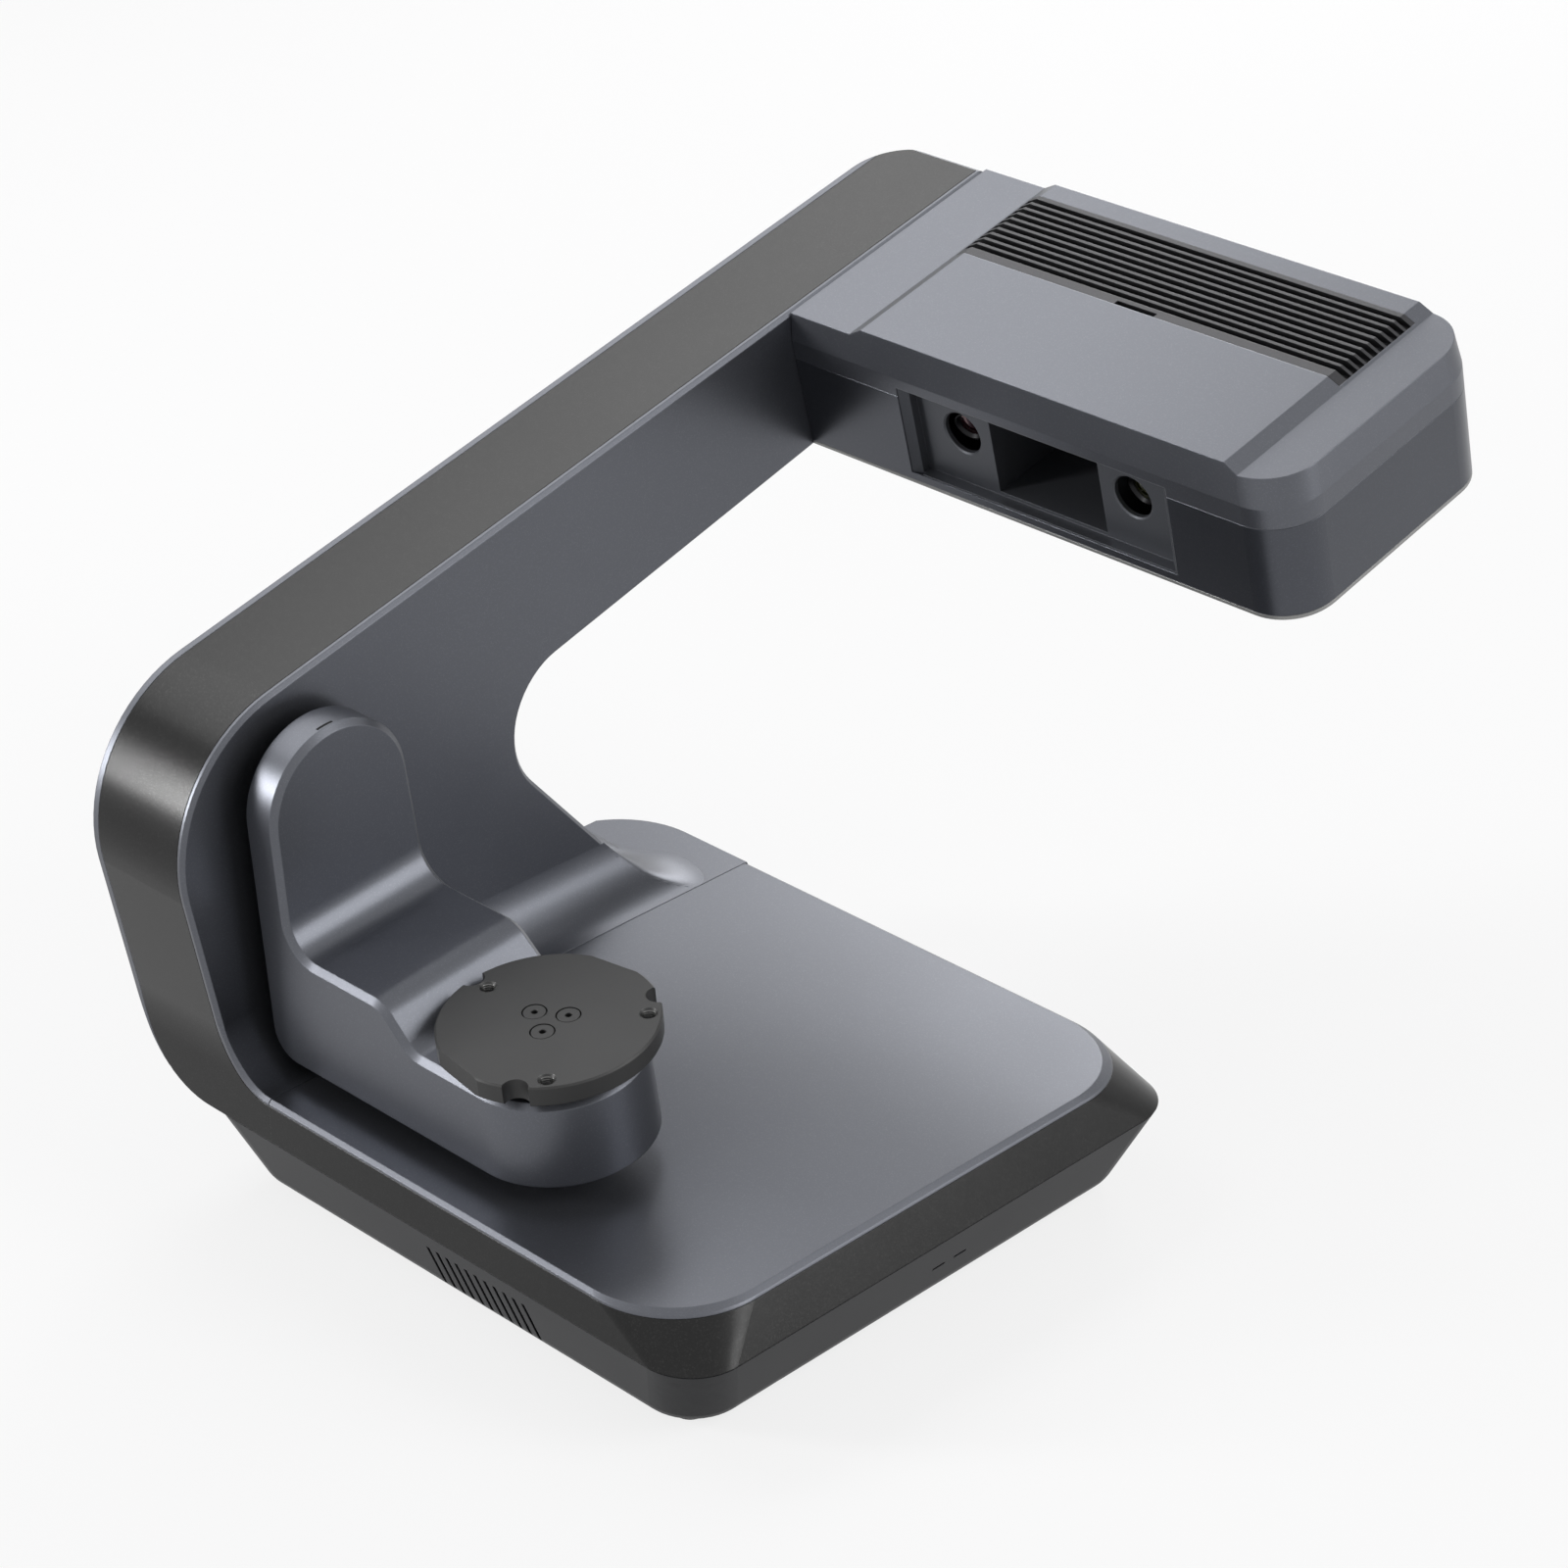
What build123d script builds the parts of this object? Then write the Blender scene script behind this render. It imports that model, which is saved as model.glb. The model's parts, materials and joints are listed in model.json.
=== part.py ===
from build123d import *
from math import atan2, cos, hypot, pi, radians, sin, sqrt, tan
import os

os.makedirs("parts", exist_ok=True)

# ---------------------------------------------------------------------------
# Driving dimensions, mm. +X right, +Y back, +Z up. The origin is on the table,
# under the middle of the scanner's overall box.
# ---------------------------------------------------------------------------

# base
base_width = 354.0
base_depth = 308.0
band_height = 22.5          # dark band under the top plate
band_flare = 11.1           # how far the band leans out on the right and the back
tray_depth = 41.5           # tapered tray under the band
tray_taper = 22.3           # degrees from upright
tray_edge = 14.0            # rounding under the tray
foot_height = 2.5
foot_radius = 9.0
plan_radius = 50.0          # right corners of the top plate, from above
back_left_radius = 48.0
band_foot_radius = 27.0     # corners of the band's lower edge
wall = 3.0                  # moulded covers
edge_chamfer = 1.8          # light edge round the covers
seam = 0.15                 # parting line between two covers
reveal = 0.3                # wider shadow line beside the dark band and the head

# vents in the tray's front and side
vent_count = 11
vent_pitch = 6.2
vent_width = 2.0
vent_from_arm = 130.2       # first vent, from the arm's inner face
vent_low = -57.0
vent_high = -33.0
side_slots = ((157.0, 165.0), (171.0, 179.0))
side_slot_height = 1.2

# arm
arm_thickness = 63.8
arm_pitch = 14.7            # upper arm and head, degrees above level
arm_top = 166.8             # upper face above the base's front edge, square to the arm
arm_depth = 72.0            # upper arm, top face to underside, at its far end
arm_reach = 568.5           # along the upper arm, from the base's front edge
arm_taper = 1.9             # underside against the top face, degrees
leg_lean = 11.07            # front of the lower leg, degrees from upright
leg_root = 14.7             # where the leaning front meets the upright one
leg_root_radius = 120.0
leg_back_angle = 48.9       # back of the lower leg, degrees from level
leg_back_margin = 46.3      # where it meets the base, ahead of the base's back
leg_blend = 28.0
vertex_radius = 74.5
crook_radius = 38.4
cove_radius = 28.2          # sweep from the base into the arm's inner face
arm_end_radius = 30.0
keel_radius = 47.0          # lower left edge of the base
shell_edge = 3.6            # outer shell's edge beside the dark band
panel_edge = 3.4            # inner shell's edge beside the dark band

# head
head_width = 303.2
head_depth = 147.5
turntable_reach = 153.4     # turntable's middle from the arm's inner face
head_height = 76.3          # bottom plate to the low margins
raised_panel = 4.1
margin_left = 46.7          # low margin beside the arm
margin_right = 35.5
margin_slope = 7.5          # width of the step beside the raised panel
head_corner = 26.0
bevel_drop = 14.4           # bevelled rim of the top cover
bevel_run = 3.0
top_cover_drop = 25.0       # parting line below the low margins
rim_height = 3.0            # light bottom plate
louvre_back = 11.5          # louvre insert, from the head's back
louvre_length = 57.0
louvre_plain = 7.0
louvre_count = 10
louvre_pitch = 5.0
louvre_slot = 3.3
notch_width = 24.0
notch_depth = 3.0

# optics
window_left = 67.7          # front window, from the arm's inner face
window_right = 233.2
window_low = 7.3           # above the head's bottom
window_high = 56.3
window_recess = 6.2
window_lip = 6.4            # bezel's slanted lip beside the arm
window_ledge = 1.0          # bezel's floor above the window's lower edge
port_chamfer = 0.8
pocket_step = 2.0           # pocket's floor above the ledge
camera_spread = 105.0
camera_height = 37.3        # above the head's bottom
camera_port = 11.0
barrel_radius = 8.0
glass_radius = 6.2
pocket_width = 66.8
pocket_depth = 44.0
projector_radius = 15.0
projector_height = 31.0
optics_tilt = 11.2          # lenses look down past the head's own pitch, degrees
camera_toe = 8.4            # each camera turned in to the turntable, degrees

# cradle
cradle_gap = 8.7            # to the arm's inner face
upright_thickness = 19.6
upright_radius = 39.7
axis_back = 52.6            # swing axis behind the base's front edge
axis_height = 132.85         # and above the base's top face
swing_shown = 6.2           # degrees, plate leaning to the front
cradle_flare = 2.2          # sides of the cradle, degrees
plate_drop = 62.4           # turntable face below the swing axis
ledge_rise = 8.5            # ledge above the turntable face
ledge_end = 91.7            # from the arm's inner face
slope_end = 115.7
deck_drop = 15.5            # foot's deck below the turntable face
foot_drop = 58.0            # foot's bottom below the turntable face
heel_radius = 14.0
cove_small = 10.0
cradle_wall = 2.8
cradle_chamfer = 2.8
plate_well = 52.0           # round pocket beside the plate
deck_hole = 3.0
pin_slot_length = 10.0
pin_slot_width = 1.6

# turntable
plate_radius = 50.0
plate_thickness = 10.0
plate_flat = 47.6           # centre to each flat
plate_flat_angle = 99.0
notch_radius = 6.0
tapped_radius = 3.4
tapped_mouth = 4.1
tapped_spots = ((-39.2, 0.0), (31.5, 30.5), (31.5, -30.5))
screw_circle = 9.0
screw_head = 5.6
screw_head_depth = 5.0
screw_shank = 2.5
hub_radius = 16.0

# drives
gear_module = 1.5
swing_teeth = 40
swing_pinion_teeth = 10
table_teeth = 48
table_pinion_teeth = 12
gear_face = 6.0
backlash = 0.12
shaft_radius = 8.0
spindle_radius = 6.0
motor_shaft_radius = 2.5
running_fit = 0.04          # radial clearance of a shaft in its bearing

# ---------------------------------------------------------------------------
# Places worked out from the dimensions
# ---------------------------------------------------------------------------

arm_outer_x = -(arm_thickness + head_width) / 2
arm_inner_x = arm_outer_x + arm_thickness
seam_x = arm_inner_x + cove_radius
base_right_x = arm_outer_x + base_width
head_right_x = arm_inner_x + head_width
table_x = arm_inner_x + turntable_reach
tray_left_x = arm_outer_x + keel_radius - 11.0
tray_right_x = base_right_x + band_flare
band_back = base_depth + band_flare
base_top_z = foot_height + tray_depth + band_height
tray_floor = -band_height - tray_depth

pitch = radians(arm_pitch)
lean = radians(leg_lean)
along = (cos(pitch), sin(pitch))          # (y, z) up the arm
square = (-sin(pitch), cos(pitch))        # (y, z) out of the arm's top face
front_out = (-cos(lean), -sin(lean))      # (y, z) out of the leaning front


def meet(normal_a, offset_a, normal_b, offset_b):
    """Point where two lines, each given by its normal and offset, cross."""
    det = normal_a[0] * normal_b[1] - normal_a[1] * normal_b[0]
    return ((offset_a * normal_b[1] - offset_b * normal_a[1]) / det,
            (normal_a[0] * offset_b - normal_b[0] * offset_a) / det)


def arm_point(reach, height):
    """(y, z) of a point along the upper arm and square above it."""
    return (reach * along[0] + height * square[0], reach * along[1] + height * square[1])


lean_offset = front_out[1] * leg_root
vertex_centre = meet(square, arm_top - vertex_radius, front_out, lean_offset - vertex_radius)
head_bottom = arm_top - head_height
leg_back_foot = base_depth - leg_back_margin
head_front = arm_reach - head_depth
overall_front = vertex_centre[0] - vertex_radius
overall_back = arm_point(arm_reach, head_bottom)[0]
base_front_y = -(overall_front + overall_back) / 2

at_base = Pos(0, base_front_y, base_top_z)
at_head = at_base * Rot(arm_pitch, 0, 0)
at_axis_base = Pos(0, axis_back, axis_height)
at_axis = at_base * at_axis_base
at_cradle = at_axis * Rot(swing_shown, 0, 0)
at_table = at_cradle * Pos(table_x, 0, -plate_drop)

# ---------------------------------------------------------------------------
# Helpers
# ---------------------------------------------------------------------------


def outline(corners):
    """Closed face from (x, y, radius) corners, each rounded by a tangent arc."""
    count = len(corners)
    runs = []
    for i, (x, y, radius) in enumerate(corners):
        ax, ay = corners[i - 1][:2]
        bx, by = corners[(i + 1) % count][:2]
        la, lb = hypot(ax - x, ay - y), hypot(bx - x, by - y)
        ua, ub = ((ax - x) / la, (ay - y) / la), ((bx - x) / lb, (by - y) / lb)
        half = atan2(abs(ua[0] * ub[1] - ua[1] * ub[0]), ua[0] * ub[0] + ua[1] * ub[1]) / 2
        if radius <= 0 or half > pi / 2 - 1e-4:
            runs.append(((x, y), None, (x, y)))
            continue
        back = radius / tan(half)
        mx, my = ua[0] + ub[0], ua[1] + ub[1]
        m = hypot(mx, my)
        tip = radius / sin(half) - radius
        runs.append(((x + ua[0] * back, y + ua[1] * back),
                     (x + mx / m * tip, y + my / m * tip),
                     (x + ub[0] * back, y + ub[1] * back)))
    edges = []
    for i, (start, middle, end) in enumerate(runs):
        if middle is not None:
            edges.append(ThreePointArc(start, middle, end))
        following = runs[(i + 1) % count][0]
        if hypot(following[0] - end[0], following[1] - end[1]) > 1e-5:
            edges.append(Line(end, following))
    return make_face(Wire(edges))


def slab_x(face, x0, x1):
    """A (y, z) outline made solid between two X."""
    return extrude(Plane.YZ.offset(x0) * face, x1 - x0)


def slab_y(face, y0, y1):
    """An (x, z) outline made solid between two Y."""
    return extrude(Plane.XZ.offset(-y1) * face, y1 - y0)


def slab_z(face, z0, z1):
    """An (x, y) outline made solid between two Z."""
    return extrude(Plane.XY.offset(z0) * face, z1 - z0)


def block(x0, x1, y0, y1, z0, z1):
    """Box between two corners."""
    return Pos((x0 + x1) / 2, (y0 + y1) / 2, (z0 + z1) / 2) * Box(x1 - x0, y1 - y0, z1 - z0)


def rounded(x0, x1, y0, y1, radius):
    """Rectangle between two corners with equal corner radii."""
    return outline([(x0, y0, radius), (x1, y0, radius), (x1, y1, radius), (x0, y1, radius)])


def rod(radius, z0, z1):
    """Cylinder on the Z axis between two heights."""
    return Pos(0, 0, (z0 + z1) / 2) * Cylinder(radius, z1 - z0)


def tube(outer, inner, z0, z1):
    """Ring on the Z axis between two heights."""
    return rod(outer, z0, z1) - rod(inner, z0 - 1, z1 + 1)


lay_along_x = Rot(0, 90, 0)     # turns +Z to +X
lay_along_y = Rot(-90, 0, 0)    # turns +Z to +Y


def gear(teeth, bore, first_angle=0.0):
    """Spur gear on the Z axis from z = 0, each flank two chords of its involute."""
    pitch_r = gear_module * teeth / 2
    base_r = pitch_r * cos(radians(20))
    outer_r, root_r = pitch_r + gear_module, pitch_r - 1.25 * gear_module
    half_tooth = (pi * gear_module / 2 - backlash) / 2 / pitch_r

    def involute(radius):
        if radius <= base_r:
            return 0.0
        roll = sqrt(radius ** 2 / base_r ** 2 - 1)
        return roll - atan2(roll, 1)

    flank = [(r, half_tooth + involute(pitch_r) - involute(r)) for r in (root_r, pitch_r, outer_r)]
    points = []
    for tooth in range(teeth):
        middle = radians(first_angle) + 2 * pi * tooth / teeth
        for radius, half in flank:
            points.append((radius * cos(middle - half), radius * sin(middle - half)))
        for radius, half in reversed(flank):
            points.append((radius * cos(middle + half), radius * sin(middle + half)))
    profile = make_face(Polyline(*points, close=True))
    return extrude(profile, gear_face) - rod(bore, -1, gear_face + 1)


nodes = {}


def keep(name, shape):
    """Records one finished node."""
    nodes[name] = shape


# ---------------------------------------------------------------------------
# Base tray: y and z from the base's front top edge
# ---------------------------------------------------------------------------


def tray_solid(inset, floor, top, edge):
    """Tapered tray body with a rounded bottom edge."""
    def level(z):
        lean_in = inset + (-band_height - z) * tan(radians(tray_taper))
        return Plane.XY.offset(z) * rounded(tray_left_x + lean_in, tray_right_x - lean_in,
                                            lean_in, band_back - lean_in, band_foot_radius)
    body = loft([level(floor), level(top)], ruled=True)
    rim = body.faces().sort_by(Axis.Z)[0].edges()
    return fillet(rim, edge)


boss_radius = 6.0
screw_core = 1.6
screw_seat = 3.4
chassis_z = tray_floor + 9.0
chassis_thickness = 7.0
boss_x = (tray_left_x + 50, tray_right_x - 50)
boss_y = (50.0, band_back - 50.0)
boss_spots = [(x, y) for x in boss_x for y in boss_y]

# low-voltage power inlet, rocker and data port side by side in the tray's sloping back
rear_z = -42.0
inlet_x = tray_right_x - 80.0
rocker_x = inlet_x - 36.0
port_x = rocker_x - 36.0
inlet_half = (6.5, 6.0)
rocker_half = (10.5, 7.0)
port_half = (7.0, 3.6)
rear_lean = (-band_height - rear_z) * tan(radians(tray_taper))
at_rear = Pos(0, band_back - rear_lean, rear_z) * Rot(-tray_taper, 0, 0)


def window(x, half, margin=0.0):
    """Opening through the tray's back for one of the rear pieces."""
    return at_rear * block(x - half[0] - margin, x + half[0] + margin, -12, 4,
                           -half[1] - margin, half[1] + margin)


def make_tray():
    tray = tray_solid(0, tray_floor, -band_height - seam, tray_edge)
    tray -= tray_solid(wall, tray_floor + wall, -band_height + 5, tray_edge - wall)
    for i in range(vent_count):
        x = arm_inner_x + vent_from_arm + i * vent_pitch
        tray -= block(x - vent_width / 2, x + vent_width / 2, -1, 24, vent_low, vent_high)
    for y0, y1 in side_slots:
        tray -= block(tray_right_x - 14, tray_right_x, y0, y1,
                      rear_z - side_slot_height / 2, rear_z + side_slot_height / 2)
    for x, y in boss_spots:
        tray += Pos(x, y) * rod(boss_radius, tray_floor + wall / 2, chassis_z)
    for x, y in boss_spots:
        tray -= Pos(x, y) * rod(screw_core, tray_floor - 1, chassis_z + 1)
        tray -= Pos(x, y) * rod(screw_seat, tray_floor - 1, tray_floor + 2)
    tray -= window(inlet_x, inlet_half)
    tray -= window(rocker_x, rocker_half)
    tray -= window(port_x, port_half)
    for x, y in foot_spots:
        tray -= Pos(x, y) * rod(foot_radius, tray_floor - 1, tray_floor + 1)
    return tray


foot_x = (tray_left_x + 36, tray_right_x - 36)
foot_y = (34.0, band_back - 34.0)
foot_spots = [(x, y) for x in foot_x for y in foot_y]


def make_feet():
    feet = []
    for x, y in foot_spots:
        pad = rod(foot_radius - 0.1, tray_floor - foot_height, tray_floor + 0.95)
        feet.append(Pos(x, y) * chamfer(pad.edges().sort_by(Axis.Z)[0], 0.8))
    return Compound(feet)


def machine_screw(head, head_height, shank, length):
    """Screw with its head up, underside of the head at z = 0."""
    body = rod(head, 0, head_height) + rod(shank, -length, 0.1)
    return body - rod(head * 0.45, head_height - 1.0, head_height + 1)


def make_tray_screws():
    screws = []
    for x, y in boss_spots:
        screws.append(Pos(x, y, tray_floor + 2) * Rot(180, 0, 0)
                      * machine_screw(screw_seat - 0.3, 1.6, screw_core, 11))
    return Compound(screws)


keep("base_tray", at_base * make_tray())
keep("rubber_feet", at_base * make_feet())
keep("tray_screws", at_base * make_tray_screws())

# ---------------------------------------------------------------------------
# Base band, top plate and the arm's covers
# ---------------------------------------------------------------------------


def base_level(inset, z):
    """Plan of the base at one height, drawn in by a margin."""
    share = -z / band_height
    right = base_right_x + band_flare * share - inset
    back = base_depth + band_flare * share - inset
    round_right = plan_radius + (band_foot_radius - plan_radius) * share - inset
    return Plane.XY.offset(z) * outline([
        (arm_outer_x + inset, inset, 0), (right, inset, round_right),
        (right, back, round_right), (arm_outer_x + inset, back, back_left_radius - inset)])


def base_block(inset, low, high):
    """Everything between the tray and the top face, flared on the right and the back."""
    return loft([base_level(inset, low), base_level(inset, high)], ruled=True)


far = 800.0
keel = slab_y(outline([(arm_outer_x, -band_height, keel_radius), (far, -band_height, 0),
                       (far, far, 0), (arm_outer_x, far, 0)]), -far, far)
base_whole = base_block(0, -band_height, 0) & keel


def arm_outline(inset, low):
    """Side view of the arm above a level, drawn in by a margin all round."""
    under = radians(arm_pitch + arm_taper)
    under_out = (sin(under), -cos(under))
    leg_back = radians(leg_back_angle)
    leg_out = (sin(leg_back), cos(leg_back))
    tip = arm_point(arm_reach, arm_top - arm_depth)
    under_offset = under_out[0] * tip[0] + under_out[1] * tip[1] - inset
    leg_offset = leg_out[0] * leg_back_foot - inset
    end_offset = arm_reach - inset
    top_offset = arm_top - inset
    front = lean_offset - inset
    root_y = meet(front_out, front, (0, 1), leg_root)[0]
    foot = meet(leg_out, leg_offset, (0, 1), -inset)
    tip_round = 4.0 if inset == 0 else 0
    return outline([
        (*meet(square, top_offset, along, end_offset), tip_round),
        (*meet(square, top_offset, front_out, front), vertex_radius - inset),
        (root_y, leg_root, leg_root_radius),
        (root_y, low, 0),
        (foot[0] + 20, low, 0),
        (foot[0] + 20, -inset, 0),
        (*foot, leg_blend + inset),
        (*meet(leg_out, leg_offset, under_out, under_offset), crook_radius + inset),
        (*meet(under_out, under_offset, along, end_offset), tip_round)])


arm_side = arm_outline(0, -wall)


def arm_end_plan(inset):
    """Keeps what lies inside the arm's far end, rounded at its outer corner."""
    plan = outline([(arm_outer_x + inset, -far, 0), (far, -far, 0), (far, arm_reach - inset, 0),
                    (arm_outer_x + inset, arm_reach - inset, arm_end_radius - inset)])
    return Rot(arm_pitch, 0, 0) * slab_z(plan, -far, far)


def ribbon_strip(depth):
    """Side view of the dark band up the arm's front and along its top."""
    inner = meet(square, arm_top - depth, front_out, lean_offset - depth)
    root_inner = meet(front_out, lean_offset - depth, (0, 1), leg_root)[0]
    return outline([
        (*arm_point(arm_reach - wall, arm_top + 9), 0),
        (*arm_point(arm_reach - wall, arm_top - depth), 0),
        (*inner, vertex_radius - depth),
        (root_inner, leg_root, leg_root_radius),
        (root_inner, -band_height - 1, 0),
        (overall_front - 20, -band_height - 1, 0),
        (overall_front - 20, arm_point(0, arm_top)[1], 0)])


def ribbon_front(margin):
    """Front view of the dark band, down the arm and along the base's front."""
    left = arm_outer_x + shell_edge + margin
    right = arm_inner_x - panel_edge - margin
    under_edge = -wall - margin
    return outline([
        (left, -band_height - 1, keel_radius - shell_edge), (seam_x, -band_height - 1, 0),
        (seam_x, under_edge, 0), (right, under_edge, cove_radius + panel_edge),
        (right, far, 0), (left, far, 0)])


back_corner = block(arm_outer_x - 1, arm_outer_x + back_left_radius,
                    base_depth - back_left_radius, base_depth + 30, -wall - 1, 60)
back_corner -= Pos(arm_outer_x + back_left_radius, base_depth - back_left_radius) \
    * rod(back_left_radius, -wall - 2, 61)
arm_whole = slab_x(arm_side, arm_outer_x, arm_inner_x) & keel & arm_end_plan(0)
arm_whole -= back_corner


# openings from the arm's inside: swing shaft, and the beam and wires into the head
shaft_window = 15.0
head_window = Rot(arm_pitch, 0, 0) * block(arm_inner_x - 10, arm_inner_x + 5,
                                          head_front + 46, arm_reach - 20,
                                          head_bottom + 9, arm_top - top_cover_drop - 6)


def make_ribbon():
    low_front = base_whole & block(arm_outer_x, seam_x, -1, 30, -band_height, 1)
    wide = slab_x(arm_side, arm_outer_x, seam_x) & block(arm_outer_x, seam_x, -9, 30, -wall, 60)
    ribbon = (arm_whole + low_front + wide & keel) & slab_y(ribbon_front(reveal), -far, far)
    return ribbon & slab_x(ribbon_strip(wall), arm_outer_x, seam_x)


def make_inner_shell():
    panel = slab_x(arm_side, arm_inner_x - panel_edge, arm_inner_x)
    side = panel.faces().sort_by(Axis.X)[-1]
    panel = chamfer([edge for edge in side.edges() if (edge @ 0.5).Z > 0.5], edge_chamfer)
    cove = block(arm_inner_x - panel_edge, seam_x - seam, -9, base_depth, -wall, cove_radius)
    cove -= Pos(seam_x, 0, cove_radius) * Rot(90, 0, 0) * Cylinder(cove_radius, far)
    cove &= slab_x(arm_side, arm_inner_x - 5, seam_x)
    sweep = []
    for edge in cove.edges():
        box = edge.bounding_box()
        if box.max.Y < 0.01 and box.min.Z > -0.01 and box.max.X - box.min.X > 1:
            if box.min.X > arm_inner_x - 0.01:
                sweep.append(edge)
    cove = chamfer(sweep, edge_chamfer)
    strip = base_whole & block(arm_inner_x - panel_edge, seam_x - seam, base_depth / 3, far, -wall, 1)
    strip += base_whole & block(arm_outer_x - 1, arm_inner_x, leg_back_foot + 1, far, -wall, 1)
    front_zone = slab_x(ribbon_strip(wall + seam), arm_outer_x, seam_x) \
        & slab_y(ribbon_front(0), -far, far)
    return panel + cove + strip - front_zone


def make_outer_shell():
    shell = arm_whole & block(arm_outer_x, arm_inner_x - panel_edge - seam, -far, far, -wall, far)
    shell += base_whole & block(arm_outer_x, seam_x - seam, -1, far, -band_height, -wall)
    keel_inner = slab_y(outline([
        (arm_outer_x + wall, wall - band_height, keel_radius - wall), (far, wall - band_height, 0),
        (far, far, 0), (arm_outer_x + wall, far, 0)]), -far, far)
    hollow = slab_x(arm_outline(wall, -wall - 8), arm_outer_x + wall, arm_inner_x)
    hollow = hollow & keel_inner & arm_end_plan(wall)
    hollow += base_block(wall, -band_height, -wall) & keel_inner
    hollow += block(tray_left_x + wall + 2, seam_x + 1, wall + 2, band_back - wall - 4,
                    -band_height - 1, wall - band_height + 1)
    strip = base_whole & block(arm_outer_x - 1, arm_inner_x, leg_back_foot + 1 - seam, far,
                               -wall - seam, 1)
    strip += block(arm_inner_x - panel_edge - seam, seam_x, -1, far, -wall - seam, 30)
    shell -= hollow
    shell -= slab_x(ribbon_strip(wall + seam), arm_outer_x, seam_x) \
        & slab_y(ribbon_front(0), -far, far)
    return shell - strip


def make_band():
    ring = base_block(0, -band_height, -wall - seam) - base_block(wall, -band_height, 0)
    return ring & block(seam_x, far, -1, far, -band_height, 0)


def make_top_plate():
    plate = base_block(0, -wall, -edge_chamfer)
    plate += loft([base_level(0, -edge_chamfer), base_level(edge_chamfer, 0)], ruled=True)
    return plate & block(seam_x + seam, far, -1, far, -wall, 1)


inner_shell = make_inner_shell()
bearing_window = at_axis_base * lay_along_x * rod(shaft_window, arm_inner_x - 10, arm_inner_x + 5)
keep("arm_spine_band", at_base * make_ribbon())
keep("arm_inner_shell", at_base * (inner_shell - bearing_window - head_window))
keep("arm_outer_shell", at_base * make_outer_shell())
keep("base_band", at_base * make_band())
keep("base_top_plate", at_base * make_top_plate())

head_left = arm_inner_x + reveal
head_boss_spots = [(x, y) for x in (head_left + 16, head_right_x - 20)
                   for y in (head_front + 16, arm_reach - 16)]

# ---------------------------------------------------------------------------
# Head: x as before, y up the arm, z square to it, both from the base's front edge
# ---------------------------------------------------------------------------

rim_top = head_bottom + rim_height
case_top = arm_top - top_cover_drop
panel_top = arm_top + raised_panel
raised_left = arm_inner_x + margin_left
raised_right = head_right_x - margin_right
window_x0 = arm_inner_x + window_left
window_x1 = arm_inner_x + window_right
window_z0 = head_bottom + window_low
window_z1 = head_bottom + window_high
louvre_y1 = arm_reach - louvre_back
louvre_y0 = louvre_y1 - louvre_length


def head_plan(inset, left=0.0, bevel=0.0):
    """Plan of the head, drawn in by a margin; its left end stands against the arm."""
    front, right = head_front + inset + bevel, head_right_x - inset - bevel
    return outline([
        (head_left + left, front, 0), (right, front, head_corner - inset),
        (right, arm_reach - inset, head_corner - inset), (head_left + left, arm_reach - inset, 0)])


def raised_profile(drop):
    """Front view of the top cover's upper limit, with the raised middle."""
    low = arm_top - drop
    high = panel_top - drop
    return outline([
        (head_left - 1, case_top - 9, 0), (head_right_x + 1, case_top - 9, 0),
        (head_right_x + 1, low, 0), (raised_right + margin_slope, low, 0),
        (raised_right, high, 0), (raised_left, high, 0),
        (raised_left - margin_slope, low, 0), (head_left - 1, low, 0)])


def top_cover_block(inset, low):
    """Top cover as a solid, bevelled all round above its rim."""
    bevel_z = arm_top - bevel_drop
    lower = Plane.XY.offset(bevel_z) * head_plan(inset, inset)
    rise = panel_top - bevel_z
    run = bevel_run * rise / bevel_drop
    upper = Plane.XY.offset(panel_top) * head_plan(inset, inset, run)
    body = loft([lower, upper], ruled=True) + slab_z(head_plan(inset, inset), low, bevel_z)
    return body & slab_y(raised_profile(inset), -far, far)


def make_louvre():
    area = block(raised_left - margin_slope + 1.5, raised_right + margin_slope - 1.5,
                 louvre_y0 + seam, louvre_y1 - seam, arm_top - 4, panel_top + 1)
    skin = top_cover_block(0, case_top) & area
    for i in range(louvre_count):
        y = louvre_y1 - 3.0 - louvre_slot - i * louvre_pitch
        skin -= block(raised_left - margin_slope - 3, raised_right + margin_slope + 3,
                      y, y + louvre_slot, arm_top - 0.5, panel_top + 1)
        skin -= block(raised_left + 4, raised_right - 4, y, y + louvre_slot, arm_top - 5, panel_top)
    skin -= block(table_x - notch_width / 2, table_x + notch_width / 2,
                  louvre_y0 - 1, louvre_y0 + notch_depth, arm_top - 1, panel_top + 1)
    return skin


def make_top_cover():
    cover = top_cover_block(0, case_top + seam) - top_cover_block(wall, case_top - 5)
    cover -= block(raised_left - margin_slope + 1.5, raised_right + margin_slope - 1.5,
                   louvre_y0, louvre_y1, arm_top - 4 - seam, panel_top + 1)
    cover -= block(window_x0, window_x1, head_front - 1, head_front + wall + 2,
                   case_top - 1, window_z1)
    ledge = block(raised_left - margin_slope - 1, raised_right + margin_slope + 1,
                  louvre_y0 - 3, louvre_y1 + 3, arm_top - 7, panel_top) & top_cover_block(1, case_top)
    ledge -= block(raised_left - margin_slope + 1.5, raised_right + margin_slope - 1.5,
                   louvre_y0, louvre_y1, arm_top - 4 - seam, panel_top + 1)
    ledge -= block(raised_left + 2, raised_right - 2, louvre_y0 + 3, louvre_y1 - 3,
                   arm_top - 8, arm_top)
    return cover + ledge


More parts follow.
